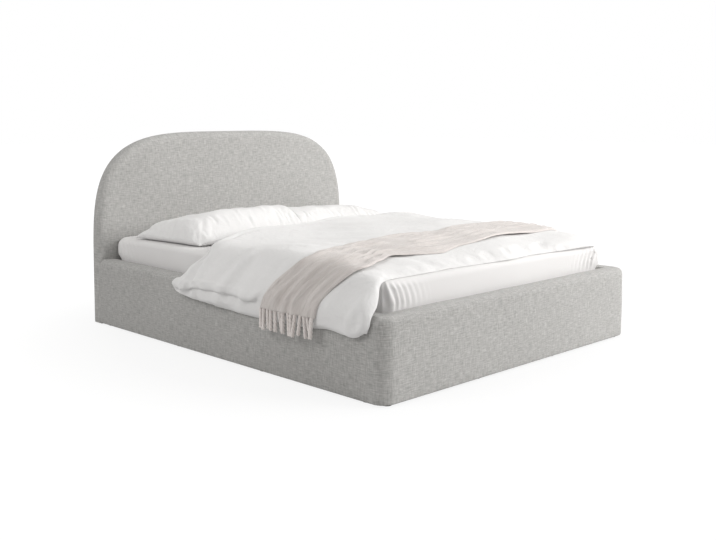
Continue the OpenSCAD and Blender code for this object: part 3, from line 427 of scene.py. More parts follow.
def rail_rings(outer, normal, inner, shoulder, lengths):
    """Rail section at stations along a path: outer point, inward direction, inner point, and the
    place where the flat top meets the inner edge."""
    depth, height = section[:, 0], section[:, 1]
    start = outer + edge_d * normal
    rings = np.zeros((len(outer), len(section), 3))
    for k in range(len(outer)):
        p = depth[:, None]
        near = outer[k] + p * normal[k]
        middle = start[k] + (p - edge_d) / (shoulder_d - edge_d) * (shoulder[k] - start[k])
        far = shoulder[k] + (p - shoulder_d) / inner_step * (inner[k] - shoulder[k])
        plan = np.where(p <= edge_d, near, np.where(p <= shoulder_d, middle, far))
        proud = padding(lengths[k], depth, height)
        plan = plan + (section[:, 2] * proud * (depth <= turned_under))[:, None] * normal[k]
        rings[k, :, :2] = plan
        rings[k, :, 2] = height + section[:, 3] * proud * (height > 0.1)
    cloth = np.zeros((len(outer), len(section) + 1, 2))
    cloth[:, :, 0] = lengths[:, None]
    cloth[:, :, 1] = around[None, :]
    return rings, cloth


cover_fabric = woven_cover("cover_fabric", (0.255, 0.253, 0.245), (0.660, 0.653, 0.637))
foot_in_y = foot_y + rail_t
corner_x = half_w - corner_r
wrapped = corner_r * math.pi / 2

stations = np.linspace(foot_in_y, head_y, 104)
for side, name in ((-1, "left"), (1, "right")):
    outer, inner, shoulder = (np.stack([np.full(len(stations), side * (half_w - depth)), stations], 1)
                              for depth in (0, rail_t, shoulder_d))
    inward = np.tile((-side, 0.0), (len(stations), 1))
    lengths = side * (corner_x + wrapped + stations - (foot_y + corner_r))
    rings, cloth = rail_rings(outer, inward, inner, shoulder, lengths)
    cover = swept(name + "_rail_cover", rings, cloth, cover_fabric)
    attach(cover, "frame")
    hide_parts(name + "_cover", name + "_foam")

# Stations of the foot rail from its middle round the right corner: outer point, inward direction, inner
# point, shoulder, and length along the cloth. The left half mirrors them.
in_x = half_w - rail_t
half_path = [((x, foot_y), (0, 1), (min(x, in_x), foot_in_y), (min(x, in_x), foot_in_y - inner_step), x)
             for x in np.concatenate([np.linspace(0, in_x, 42), [corner_x]])]
for turn in np.radians(np.linspace(0, 90, 13))[1:]:
    out = np.array([math.sin(turn), -math.cos(turn)])
    half_path.append((np.array([corner_x, foot_y + corner_r]) + corner_r * out, -out, (in_x, foot_in_y),
                      (in_x + inner_step * min(1, turn * 2), foot_in_y - inner_step),
                      corner_x + corner_r * turn))
for share_along in (0.5, 1.0):
    y = foot_y + corner_r + share_along * (foot_in_y - foot_y - corner_r)
    half_path.append(((half_w, y), (-1, 0), (in_x, foot_in_y),
                      (half_w - shoulder_d, foot_in_y - inner_step * (1 - share_along)),
                      corner_x + wrapped + y - foot_y - corner_r))
*right, lengths = [np.array(column, float) for column in zip(*half_path)]
path = [np.concatenate([a[:0:-1] * (-1, 1), a]) for a in right]
rings, cloth = rail_rings(*path, np.concatenate([-lengths[:0:-1], lengths]))
foot_cover = swept("foot_rail_cover", rings, cloth, cover_fabric)
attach(foot_cover, "frame")
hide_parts("foot_cover", "foot_foam")

# --- Upholstery of the headboard ---
# Thick foam on the panel's front and thin foam round its arched edge, under one cover that is pulled
# over the rounded front edge and stapled behind. A thin dust cloth closes the back.

arch_base, arch_rise, arch_power, arch_cols = 0.258, 0.780, 4, 53
front_r, back_r, head_back, foam_back, lap = 0.038, 0.010, 1.1, 1.053, 0.045


def arch_grid(inset, base):
    """Points in X and Z that fill the arched outline drawn in by an inset, row by row from the floor."""
    across = np.linspace(-1, 1, arch_cols)
    a, b = half_w - inset, arch_rise - inset
    rows = [np.stack([across * a, np.full(arch_cols, base + t * (arch_base - base))], 1)
            for t in np.linspace(0, 1, 12)[:-1]]
    for t in np.linspace(0, 1, 37):
        x = a * across * (1 - t**arch_power / 2) ** (1 / arch_power)
        z = arch_base + b * t * (1 - across**arch_power / 2) ** (1 / arch_power)
        rows.append(np.stack([x, z], 1))
    return np.array(rows)


def rim(rows, cols):
    """Place of each point round the edge of a sheet of points, in order."""
    i = np.concatenate([np.zeros(cols), np.arange(1, rows), np.full(cols - 1, rows - 1),
                        np.arange(rows - 2, 0, -1)])
    j = np.concatenate([np.arange(cols), np.full(rows - 1, cols - 1), np.arange(cols - 2, -1, -1),
                        np.zeros(rows - 2)])
    return i.astype(int), j.astype(int)


def block(name, front, rings, back, front_map, ring_maps, material, sharp=50):
    """Closed piece: a front sheet of points, rings that follow its edge, and a back sheet."""
    rows, cols = front.shape[:2]
    i, j = rim(rows, cols)
    edge = i * cols + j
    n = len(edge)
    points = [front.reshape(-1, 3), *rings, back.reshape(-1, 3)]
    maps = [front_map.reshape(-1, 2), *ring_maps, front_map.reshape(-1, 2)]
    starts = np.cumsum([0] + [len(p) for p in points])
    lines = [edge] + [starts[k + 1] + np.arange(n) for k in range(len(rings))] + [starts[-2] + edge]
    faces = [quads(rows, cols), quads(rows, cols)[:, ::-1] + starts[-2]]
    for a, b in zip(lines[:-1], lines[1:]):
        faces.append(np.stack([a, b, np.roll(b, -1), np.roll(a, -1)], 1))
    faces = np.concatenate(faces)
    cloth = np.concatenate(maps)[faces].reshape(-1, 2)
    return make_piece(name, np.concatenate(points), faces.tolist(), cloth, material, sharp)


def outwards(line):
    """Directions across a closed line of points, away from its inside."""
    step = np.roll(line, -1, 0) - np.roll(line, 1, 0)
    return np.stack([step[:, 1], -step[:, 0]], 1) / np.maximum(np.hypot(*step.T), 1e-9)[:, None]


def fade_in(value, start, length):
    """0 before start, 1 after start plus length, and smooth between."""
    t = np.clip((value - start) / length, 0, 1)
    return t * t * (3 - 2 * t)


drawn = arch_grid(front_r, glide_h)
full = arch_grid(0, glide_h)
above = fade_in(full[:, :, 1], rail_h, front_r)[:, :, None]
drawn = np.where(full[:, :, 1:] > arch_base, full + (drawn - full) * above, full)
bulge = (0.004 * (1 - (drawn[:, :, 0] / half_w) ** 4) * np.clip(1.02 - drawn[:, :, 1], 0, 0.25) / 0.25
         + 0.0006 * np.sin(8.1 * drawn[:, :, 0] + 0.4) * np.sin(9.3 * drawn[:, :, 1]))
front = np.stack([drawn[:, :, 0], head_y - bulge * above[:, :, 0], drawn[:, :, 1]], 2)
i, j = rim(*drawn.shape[:2])
edge_in, edge_out, edge_up = drawn[i, j], full[i, j], above[i, j]
away = outwards(edge_out)
edge_rings, edge_maps = [], []
for turn in np.radians((15, 30, 45, 60, 75, 90)):
    place = edge_in + (edge_out - edge_in) * math.sin(turn)
    y = head_y + front_r * (1 - math.cos(turn)) * edge_up
    edge_rings.append(np.concatenate([place[:, :1], y, place[:, 1:]], 1))
    edge_maps.append(edge_in + away * front_r * turn)
under_cloth = head_back - cloth_t

# The cover behind the rounded front edge: inset of its outline, Y, and length along the cloth
for inset, y, along in ((0, 1.074, 0.076), (0, head_back - back_r, 0.092), (cloth_t, under_cloth, 0.100),
                        (back_r, head_back, 0.108), (lap, head_back, 0.143), (lap, under_cloth, 0.146),
                        (core_p, under_cloth, 0.176), (core_p, foam_back, 0.220)):
    ring = arch_grid(inset, glide_h + min(inset, cloth_t))[i, j]
    edge_rings.append(np.stack([ring[:, 0], np.full(len(ring), y), ring[:, 1]], 1))
    edge_maps.append(edge_in + away * along)
hidden = arch_grid(core_p, glide_h + cloth_t)
back = np.stack([hidden[:, :, 0], np.full(hidden.shape[:2], foam_back), hidden[:, :, 1]], 2)
head_cover = block("headboard_cover", front, edge_rings, back, drawn, edge_maps, cover_fabric, 40)
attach(head_cover, "frame")
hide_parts("head_cover", "head_foam")


def spunbond(name, colour):
    """Pressed non-woven dust cloth with its small diamond bonding pattern."""
    made, tree, shader = new_material(name, 0.95, Specular_IOR_Level=0.15)
    place = on_object(tree)
    parts = put(tree, "ShaderNodeSeparateXYZ", {0: place})
    waves = [waved(tree, summed(tree, parts.outputs[0], parts.outputs[2], way), 1400.0)
             for way in ("ADD", "SUBTRACT")]
    coloured(tree, shader, noise(tree, place, scale=60.0, detail=4), colour, scaled(colour, 1.15))
    raised(tree, shader, summed(tree, *waves, "MULTIPLY"), 0.0003, 0.6)
    return made


give(spunbond("dust_cloth", (0.30, 0.30, 0.29)), "head_back_cloth")

# --- Lift fittings ---
# On each side a long and a short arm turn on pins in a base plate, and a gas strut pushes the long
# arm. Stampings are powder coated, pins and rods are plated, and the strut's tube is painted black.

satin_black = powder_coat("satin_black", (0.014, 0.014, 0.015), 0.28)
give(black_steel, "lift_base_plates", "long_arms", "short_arms", "top_plates")
give(zinc, "base_pins", "lift_bolts", "strut_studs", "strut_rods", "top_pins")
give(satin_black, "strut_cylinders")
give(black_plastic, "strut_pistons")

# --- Platform ---
# Welded square steel tubes carry beech slats in plastic holders. A hoop at the foot end keeps the
# mattress from sliding when the platform is up.

give(black_steel, "side_tubes", "end_tubes", "cross_tubes", "centre_tube", "mattress_stop")
give(timber("beech", (0.60, 0.42, 0.25), (0.76, 0.58, 0.38), 0, 0.45), "slats")
give(black_plastic, "slat_holders")

# --- Mattress ---
# Foam core in a quilted knitted ticking, with a piped edge round its underside.

mattress_w, mattress_l, mattress_y = 1.6, 2.0, 0.005
platform_z, mattress_h, bed_r, soft_r, snug = 0.270, 0.200, 0.060, 0.025, 0.0004


def bed_grid(grow, draw, cols=65, rows=81, turns=6):
    """Points in X and Y that fill the mattress plan with its round corners, grown and drawn in."""
    a, b = mattress_w / 2 + grow - draw, mattress_l / 2 + grow - draw
    r = max(bed_r + grow - draw, 0.004)

    def line(half, count):
        corner = np.linspace(0, 1, turns + 1)
        even = np.linspace(-1, 1, count - 2 * turns)
        inner = (half - r) * (0.35 * even + 0.65 * np.sin(np.pi * even / 2))
        return np.concatenate([-half + r * corner[:-1], inner, half - r + r * corner[1:]])

    x, y = np.meshgrid(line(a, cols), line(b, rows))
    u = np.clip((np.abs(x) - (a - r)) / r, 0, 1)
    v = np.clip((np.abs(y) - (b - r)) / r, 0, 1)
    round_x = np.sign(x) * (a - r + r * u * np.sqrt(1 - v * v / 2))
    round_y = np.sign(y) * (b - r + r * v * np.sqrt(1 - u * u / 2))
    both = (u > 0) & (v > 0)
    return np.stack([np.where(both, round_x, x), np.where(both, round_y, y) + mattress_y], 2)


def at_height(plan, z):
    """Points in X and Y raised to a height."""
    return np.concatenate([plan, np.broadcast_to(np.asarray(z, float), plan.shape[:-1])[..., None]], -1)


def ticking(name, colour):
    """Knitted ticking: fine loops, with broad soft quilting."""
    made, tree, shader = new_material(name, 0.9, Specular_IOR_Level=0.2, Sheen_Weight=0.15)
    place = on_object(tree)
    loops = noise(tree, stretched(tree, place, 700, 350, 500))
    broad = noise(tree, place, scale=5.0, detail=3)
    coloured(tree, shader, weighed(tree, (loops, 0.7), (broad, 0.3)), scaled(colour, 0.86), colour)
    raised(tree, shader, loops, 0.0006, 0.5)
    return made


bed_top = platform_z + mattress_h
quilt_pitch, quilt_edge, quilt_depth = 0.2, 0.06, 0.003
top_plan = bed_grid(0, soft_r)
i, j = rim(*top_plan.shape[:2])
rings = [at_height(bed_grid(0, soft_r * (1 - math.sin(turn)))[i, j], bed_top - soft_r * (1 - math.cos(turn)))
         for turn in np.radians((30, 60, 90))]

# Height and inset down the side and round the piped lower edge
for z, draw in ((0.40, 0.0), (0.34, 0.0), (0.300, 0.001), (0.2915, 0.003), (0.288, 0.0004), (0.283, 0.0),
                (0.278, 0.0004), (0.2745, 0.003), (0.2712, 0.009), (0.2703, 0.016)):
    rings.append(at_height(bed_grid(0, draw)[i, j], z))
low_plan = bed_grid(0, 0.022)
tuft = 0.5 - 0.5 * np.prod(np.cos(2 * np.pi * low_plan / quilt_pitch), 2)
inward = np.clip((mattress_w / 2 - np.abs(low_plan[:, :, 0])) / quilt_edge, 0, 1) * np.clip(
    (mattress_l / 2 - np.abs(low_plan[:, :, 1] - mattress_y)) / quilt_edge, 0, 1)
mattress = block("mattress_core", at_height(top_plan, bed_top), rings,
                 at_height(low_plan, platform_z + snug + quilt_depth * tuft * inward), top_plan,
                 [r[:, :2] for r in rings], ticking("mattress_ticking", (0.80, 0.79, 0.76)))
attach(mattress, "platform")
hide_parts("mattress")

# --- Fitted sheet ---
# Cotton jersey with elastic in its hem, pulled over the mattress. The spare cloth at each corner is
# gathered by the elastic into narrow upright pleats.

sheet_t = 0.0018
pleat_pitch, pleat_depth, pleat_lean, pleat_foot = 0.031, 0.0135, 0.045, 0.355


def bedding_cotton(name, colour, shade, crease=0.0):
    """Plain woven cotton: fine threads, faint cloudy tone, and small pressed creases."""
    made, tree, shader = new_material(name, 0.88, Specular_IOR_Level=0.25, Sheen_Weight=0.12,
                                      Sheen_Roughness=0.6)
    place = on_object(tree)
    threads = noise(tree, stretched(tree, place, 900, 900, 900))
    cloud = noise(tree, place, scale=3.2, detail=4)
    coloured(tree, shader, weighed(tree, (threads, 0.35), (cloud, 0.65)), shade, colour)
    first = raised(tree, shader, threads, 0.0003, 0.4)
    if crease:
        folds = noise(tree, place, scale=9.0, detail=5, rough=0.55, low=0.2, high=0.8, twist=1.4)
        second = raised(tree, shader, folds, crease, 0.8, under=first)
        small = noise(tree, place, scale=30.0, detail=4, rough=0.5, low=0.25, high=0.75, twist=1.0)
        raised(tree, shader, small, 0.35 * crease, 0.7, under=second)
    return made


def pleat(x, y, z):
    """Height of the gathers near the four corners, along the outline of the mattress."""
    from_x = mattress_w / 2 - np.abs(x)
    from_y = mattress_l / 2 - np.abs(y - mattress_y)
    along = np.abs(from_x - from_y)
    near = np.exp(-np.clip(along - 0.03, 0, 1) / 0.15) * (along < 0.6)
    climb = np.clip((z - pleat_foot) / (bed_top - pleat_foot), 0, 1)
    lean = along - pleat_lean * (1 - climb**2) * np.clip(along / 0.06, 0, 1)
    wave = 0.5 + 0.5 * np.sin(2 * np.pi * lean / pleat_pitch + 1.2 * np.sin(19 * along)
                              + np.sign(x) + 2 * np.sign(y))
    return near * (wave**1.5 + 0.35 * np.exp(-along / 0.10))


def sheet_grid(grow, draw):
    """Mattress plan with enough points at the corners for the pleats."""
    return bed_grid(grow, draw, cols=141, rows=171, turns=12)


def sheet_skin(grow, drop):
    """Rings of one side of the sheet, from the rounded top edge down to the hem."""
    made = []
    for draw, z in levels:
        plan = sheet_grid(grow, draw)[i, j]
        height = pleat_depth * fade_in(z, 0.352, 0.035) * (1 - 0.85 * fade_in(z, 0.435, 0.035)) + 0.0022
        proud = height * pleat(plan[:, 0], plan[:, 1], z)
        made.append(at_height(plan + outwards(plan) * proud[:, None], z - drop * (draw > 0)))
    return made


sheet_plan = sheet_grid(snug, soft_r)
i, j = rim(*sheet_plan.shape[:2])
levels = [(soft_r * (1 - math.sin(turn)), bed_top + sheet_t - soft_r * (1 - math.cos(turn)))
          for turn in np.radians((18, 36, 54, 72, 90))]
levels += [(0.0, z) for z in (0.440, 0.425, 0.410, 0.395, 0.380, 0.365, 0.350, 0.330, 0.300, 0.272)]
rings = sheet_skin(sheet_t, 0) + sheet_skin(snug, sheet_t)[::-1]
fitted = block("fitted_sheet_cloth", at_height(sheet_plan, bed_top + sheet_t), rings,
               at_height(sheet_plan, bed_top + snug), sheet_plan, [r[:, :2] for r in rings],
               bedding_cotton("sheet_cotton", (0.81, 0.802, 0.800), (0.76, 0.748, 0.746)), 180)
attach(fitted, "platform")
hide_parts("fitted_sheet")

# --- Pillows ---
# Two cotton pillow cases filled with fibre, sewn from two flat rectangles with pointed corners.
# The filled shape is modelled, a cloth simulation adds its creases. They lie side by side on the sheet.

pillow_w, pillow_l, pillow_h = 0.775, 0.52, 0.15
pillow_gap, pillow_back, pillow_shift, pillow_plump = 0.012, 0.045, 0.10, 0.13
pillow_seam, skin_t, drawn_in = 0.034, 0.0015, 0.022
lie_z = bed_top + 0.0023
bed_linen = bedding_cotton("bed_linen", (0.828, 0.826, 0.825), (0.768, 0.762, 0.760), crease=0.0045)


def coordinates(obj):
    """Places of an object's points."""
    place = np.zeros(len(obj.data.vertices) * 3, np.float32)
    obj.data.vertices.foreach_get("co", place)
    return place.reshape(-1, 3).astype(float)


def move_points(obj, place):
    """Puts an object's points in new places."""
    obj.data.vertices.foreach_set("co", np.asarray(place, np.float32).reshape(-1))
    obj.data.update()


def settle(obj, frames, pressure, growth, cap, held, bending):
    """Cloth simulation of a closed piece under inner pressure, with its lower skin held. No point moves
    further than the cap."""
    before = coordinates(obj)
    cloth = obj.modifiers.new("cloth", "CLOTH")
    facts = cloth.settings
    facts.quality = 5
    facts.mass = 0.3
    facts.tension_stiffness = facts.compression_stiffness = 15.0
    facts.shear_stiffness = 5.0
    facts.bending_stiffness = bending
    facts.use_pressure = True
    facts.uniform_pressure_force = pressure
    facts.shrink_min = -growth
    facts.effector_weights.gravity = 0
    group = obj.vertex_groups.new(name="held")
    group.add(list(range(held, len(before))), 1.0, "REPLACE")
    facts.vertex_group_mass = "held"
    cloth.point_cache.frame_start = 1
    cloth.point_cache.frame_end = frames
    for number in range(1, frames + 1):
        scene.frame_set(number)
    step = coordinates(obj.evaluated_get(bpy.context.evaluated_depsgraph_get())) - before
    obj.modifiers.remove(cloth)
    obj.vertex_groups.clear()
    scene.frame_set(1)
    length = np.linalg.norm(step, axis=1, keepdims=True)
    step *= np.minimum(1, cap / np.maximum(length, 1e-9))
    move_points(obj, before + step)


def refine(obj):
    """Subdivision of the finished mesh."""
    smooth = obj.modifiers.new("smooth", "SUBSURF")
    smooth.levels = smooth.render_levels = 1
    graph = bpy.context.evaluated_depsgraph_get()
    old, obj.data = obj.data, bpy.data.meshes.new_from_object(obj.evaluated_get(graph))
    obj.data.name = old.name
    obj.modifiers.remove(smooth)
    bpy.data.meshes.remove(old)


def wall(distance, radius, power=2.0):
    """Height share at a distance from the foot of a rounded wall."""
    return (1 - (1 - np.clip(distance / radius, 0, 1)) ** power) ** (1 / power)


def ease(value):
    """Smooth rise from 0 to 1."""
    return 0.5 - 0.5 * np.cos(np.pi * np.clip(value, 0, 1))


def ripples(along, across, seed, waves, spread):
    """Irregular smooth pattern of ridges that run along the cloth, between -1 and 1."""
    chance = np.random.default_rng(seed)
    total = np.zeros(along.shape)
    for number in range(waves):
        tight = 2 * np.pi * chance.uniform(3.5, 11.0)
        angle = chance.normal(0, spread)
        shift = chance.uniform(0, 2 * np.pi)
        wave = np.cos(tight * (across * math.cos(angle) + along * math.sin(angle)) + shift)
        total += wave / math.sqrt(waves)
    return total


for side, name in ((-1, "left"), (1, "right")):
    # Distances from the four seams and from the corner towards the foot end
    high = pillow_h * (0.93 - side * pillow_plump)
    u, v = np.meshgrid(np.linspace(-1, 1, 111), np.linspace(-1, 1, 77))
    a, b = (0.5 * s + 0.5 * np.sin(np.pi * s / 2) for s in (u, v))
    outer, inner = pillow_w / 2 * (1 - side * a), pillow_w / 2 * (1 + side * a)
    front, back = pillow_l / 2 * (1 + b), pillow_l / 2 * (1 - b)
    corner = np.hypot(outer, front)
    x = pillow_w / 2 * a * (1 - 0.025 * (1 - b * b)) - side * drawn_in * np.exp(-(corner / 0.05) ** 2)
    y = pillow_l / 2 * b * (1 - 0.035 * (1 - a * a)) + drawn_in * np.exp(-(corner / 0.05) ** 2)

    # The filled body, and the folds that start at its corner, its front seam and its end
    steep, slope = (0.46, 0.40) if side < 0 else (0.12, 0.52)
    body = ((steep * wall(outer, 0.10, 2.0) + (1 - steep) * wall(outer, slope)) * wall(inner, 0.085)
            * wall(front, 0.16) * wall(back, 0.48, 1.7) * wall(corner, 0.26))
    fan = np.arctan2(front, outer)
    patches = ease(1.1 * ripples(1.4 * y, 1.4 * x, 31 + side, 9, 1.2) + 0.25)
    folds = (0.0050 * np.sin(13 * fan + 3.0 * np.sin(corner / 0.05)) * np.exp(-corner / 0.13)
             + 0.0085 * ripples(2.0 * y, 3.6 * x, 41 + side, 12, 0.35) * np.exp(-front / 0.09) * patches
             + 0.0035 * ripples(2.2 * x, 2.2 * y, 51 + side, 12, 0.35) * np.exp(-outer / 0.07)
             + 0.0035 * ripples(0.7 * x, 0.7 * y, 61 + side, 9, 1.2))
    seam = pillow_seam * (1 - 0.75 * (a * b) ** 8)
    tops = np.stack([x, y, seam + skin_t + (high - seam) * body + folds * np.sqrt(body)], 2)
    nearest = np.minimum(np.minimum(outer, inner), np.minimum(front, back))
    lows = np.stack([x, y, (seam - skin_t) * (1 - wall(nearest, 0.06))], 2)
    case_map = np.stack([x, y], 2)
    pillow = block("pillow_case_" + name, tops, [], lows, case_map, [], bed_linen, 180)
    settle(pillow, frames=14, pressure=2.5, growth=0.035, cap=0.007, held=x.size, bending=0.08)
    place = coordinates(pillow)
    turn, nearer, shift = (math.radians(4.5), pillow_gap, pillow_shift) if side < 0 else (0, 0, 0)
    turned = np.array([(math.cos(turn), math.sin(turn)), (-math.sin(turn), math.cos(turn))])
    place[:, :2] = place[:, :2] @ turned
    place[:, 0] += side * (pillow_w / 2 + pillow_gap / 2) + nearer
    place[:, 1] += head_y - pillow_back - pillow_l / 2 - shift
    place[:, 2] = np.maximum(place[:, 2], 0) + lie_z
    move_points(pillow, place)
    refine(pillow)
    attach(pillow, "platform")
    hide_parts("pillow_" + name)

# --- Duvet ---
# Fibre-filled duvet in a cotton case, spread over the mattress and hanging over both rails. On the
# left its head corner is folded back, so that two layers hang there. Cloth simulation adds creases.

duvet_loft, hem_t = 0.062, 0.006
edge_x, hang_x = mattress_w / 2, 0.908

# Where the lower side stops lying flat on the sheet, how far out the drops hang, how much further at
# their flutes, and how far to the left and right they may reach
flat_x, drop_x, flute_w, left_most, right_most = 0.775, 0.942, 0.012, -0.964, 0.962

# Head edge, foot edge and hem of the duvet: place along the path over the bed, and Y or height there
head_line = [(-1.125, .258), (-1.08, .286), (-1.05, .284), (-1.0, .243), (-.945, .184), (-.90, .131),
             (-.86, .105), (-.80, .094), (-.76, .107), (-.70, .145), (-.60, .225), (-.48, .262),
             (-.24, .300), (0, .322), (.24, .356), (.48, .392), (.60, .400), (.70, .338), (.76, .324),
             (.80, .326), (.87, .276), (.94, .255), (1.125, .255)]
foot_line = [(-1.125, -1.020), (-1.07, -1.036), (-1.0, -1.040), (-.945, -1.036), (-.90, -1.022),
             (-.86, -1.004), (-.80, -.985), (-.74, -.972), (-.69, -.966), (-.53, -.970), (-.34, -.957),
             (-.19, -.970), (.06, -.992), (.21, -.976), (.37, -.982), (.55, -1.0), (.65, -1.006),
             (.77, -1.006), (.81, -.985), (.86, -.92), (.92, -.87), (1.125, -.86)]
hem_line = [(0, .318), (.03, .299), (.094, .276), (.203, .263), (.26, .256), (.39, .247), (.5, .247),
            (.66, .251), (.76, .259), (.82, .270), (.89, .263), (.925, .259), (.967, .268), (1, .300)]


def smooth_line(line, places, reach=0.03):
    """Values of a line at some places, without its kinks."""
    knots, values = np.array(line).T
    even = np.arange(knots[0] - reach, knots[-1] + reach, reach / 6)
    kernel = np.hanning(15)
    smooth = np.convolve(np.interp(even, knots, values), kernel / kernel.sum(), "valid")
    return np.interp(places, even[7:-7], smooth)


def hanging(x):
    """1 where the duvet hangs beside the rail, 0 on the mattress."""
    return ease((np.abs(x) - 0.98 * edge_x) / (0.16 * edge_x))


def top_loft(v):
    """Loft on the mattress: rolled at the head edge, thinner towards the foot."""
    return duvet_loft * (1 + 0.3 * ease((0.16 - v) / 0.16) - 0.3 * ease((v - 0.6) / 0.4))


def along_path(values):
    """Smooth values at the columns of the duvet, from the values at the knots of its path."""
    raw = np.interp(even_path, path_knots, values)
    kernel = np.hanning(13)
    padded = np.concatenate([raw[6:0:-1], raw, 2 * raw[-1] - raw[-2:-8:-1]])
    return np.interp(down, even_path, np.convolve(padded, kernel / kernel.sum(), "valid"))


path_knots = np.array([0, 0.24, 0.48, 0.68, 0.788, 0.840, 0.945, 1.000, 1.070, 1.125])
path_end = path_knots[-1]
path_at = np.concatenate([np.linspace(-path_end, -0.94, 30)[:-1], np.linspace(-0.94, 0.94, 104),
                          np.linspace(0.94, path_end, 13)[1:]])
rows_at = np.concatenate([np.linspace(0, 0.1, 15)[:-1], np.linspace(0.1, 0.9, 58)[:-1],
                          np.linspace(0.9, 1, 13)])
duvet_cols, duvet_rows = len(path_at), len(rows_at)
even_path = np.linspace(0, path_end, 133)
down = np.abs(path_at)
side_of = np.sign(path_at)
upper, under = np.zeros((duvet_rows, duvet_cols, 3)), np.zeros((duvet_rows, duvet_cols, 3))
first, last = smooth_line(head_line, path_at), smooth_line(foot_line, path_at)
hem_z = smooth_line(hem_line, rows_at)
for r, v in enumerate(rows_at):
    low = hem_z[r]
    deep = top_loft(v)
    under_x = along_path([0, .24, .48, .68, flat_x, .812, .872, .9077, hang_x, hang_x])
    under_z = along_path([lie_z] * 5 + [.4685, .386, .356, (rail_h + low) / 2, low])
    flutes = flute_w * (0.5 + 0.5 * math.cos(8 * math.pi * v)) * ease((abs(v - 0.62) - 0.2) / 0.18)
    out = drop_x + flutes
    over_x = along_path([0, .24, .48, .68, .795, .845, .908, out - 0.004, out, out - 0.004])
    over_z = along_path([bed_top + deep * s for s in (1, 1.03, 1.03, 1, .95, .70)]
                        + [.425, .374, (rail_h + low) / 2, low])
    for target, xs, zs in ((under, under_x, under_z), (upper, over_x, over_z)):
        target[r] = np.stack([side_of * xs, first + (last - first) * v, zs], 1)
under[:, :, 2] = np.maximum(under[:, :, 2], np.where(np.abs(under[:, :, 0]) < flat_x, lie_z, 0))

# The case is flat at its seams and fills out behind them
to_head = under[0, :, 1] - under[:, :, 1]
to_foot = under[:, :, 1] - under[-1, :, 1]
to_hem = np.tile(path_end - down, (duvet_rows, 1))


def filled(distance, reach):
    """Share of the full loft at a distance from a seam."""
    t = np.clip(distance / reach, 0, 1)
    return np.sqrt(1 - (1 - t) ** 2)


foot_reach = 0.20 - 0.16 * hanging(under[:, :, 0])
loft = (filled(to_head + 0.012, 0.055) * filled(to_hem + 0.003, 0.032)
        * (0.2 + 0.8 * filled(to_foot, foot_reach)))
upper = under + (upper - under) * np.clip(loft, hem_t / 0.055, 1)[:, :, None]

x, y, z = upper[:, :, 0], upper[:, :, 1], upper[:, :, 2]
on_top = 1 - ease((down - 0.72) / 0.16)[None, :]
hangs = 1 - on_top
swell = (0.008 * np.sin(5.1 * x + 3.1 * y + 0.4) * np.sin(4.3 * y - 1.3 * x + 1.9)
         + 0.0035 * np.sin(11.0 * x - 6.0 * y + 1.0)
         + 0.003 * np.sin(3.0 * x + 15.0 * y + 2.2 + 1.5 * np.sin(5 * x)))
creases = (0.0028 * np.sin(31 * x + 19 * y + 2.5 * np.sin(3.1 * x + 2.0) + 1.9 * np.sin(4.7 * y))
           * ease((np.sin(2.3 * x - 3.9 * y + 0.8) + 0.4) / 1.2))
rolled = -0.006 * np.exp(-((to_head - 0.062 - 0.012 * np.sin(9 * x)) / 0.013) ** 2)
z += on_top * (swell + creases + rolled) * np.clip(loft, 0, 1)
slope = y + 0.5 * (z - 0.4)
rumpled = 0.0045 * (1 + ease((y + 0.42) / 0.3) * (x < 0))
waves = (0.007 * np.sin(9.5 * slope + 0.9 + 0.8 * np.sin(4 * y))
         + rumpled * ripples(z, 1.25 * slope, 71, 12, 0.25)) * np.clip(loft, 0, 1)
x += np.sign(x) * hangs * waves * ease((to_hem + 0.02) / 0.12)

# The folded-back corner on the left: the upper layer ends in a rounded lip above the lower layer
lip_z = np.interp(y[:, 0], [-0.46, -0.397, -0.365, -0.316, -0.239, -0.134, -0.053, 0.045, 0.176, 0.28],
                  [.375, .360, .330, .320, .325, .335, .341, .341, .324, .314])
present = ease((y[:, 0] + 0.405) / 0.05) * ease((0.34 - y[:, 0]) / 0.08)
drop = np.nonzero(path_at < -0.955)[0][::-1]
along_lip = np.linspace(0, 1, len(drop))
lip_at = [0, 0.16, 0.28, 0.38, 0.43, 0.47, 0.51, 0.56, 0.62, 0.70, 1.0]
lip_out = np.interp(along_lip, lip_at, [0, .008, .015, .018, .015, .010, .003, -.004, -.009, -.007, 0])
for r in range(duvet_rows):
    top_z, end_z = z[r, drop[0]], z[r, drop[-1]]
    middle = min(max(lip_z[r], end_z + 0.02), top_z - 0.03)
    folded = np.interp(along_lip, lip_at, [top_z, 0.5 * (top_z + middle), middle + 0.028, middle + 0.012,
                                           middle + 0.003, middle - 0.003, middle - 0.005, middle - 0.003,
                                           middle - 0.005, middle - 0.014, end_z])
    z[r, drop] += present[r] * (folded - z[r, drop])
    x[r, drop] -= present[r] * lip_out
upper = np.stack([x, y, z], 2)
upper[:, :, 0] = np.clip(upper[:, :, 0], left_most, right_most)
duvet_map = np.stack([np.tile(path_at, (duvet_rows, 1)), y], 2)
duvet = block("duvet_case", upper, [], under, duvet_map, [], bed_linen, 180)
settle(duvet, frames=12, pressure=1.2, growth=0.03, cap=0.008, held=x.size, bending=0.4)
upper = coordinates(duvet)[:x.size].reshape(upper.shape)
refine(duvet)
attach(duvet, "platform")
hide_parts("duvet")

# --- Throw ---
# Soft woven throw, folded lengthwise and laid at a slant over the duvet, so that it hangs down on
# both sides. It lies loose, rumpled into long wrinkles.

throw_w, throw_t, throw_low = 0.40, 0.009, 0.312
wrinkle_h, fine_h, pleat_h, lift_h = 0.013, 0.0035, 0.009, 0.009

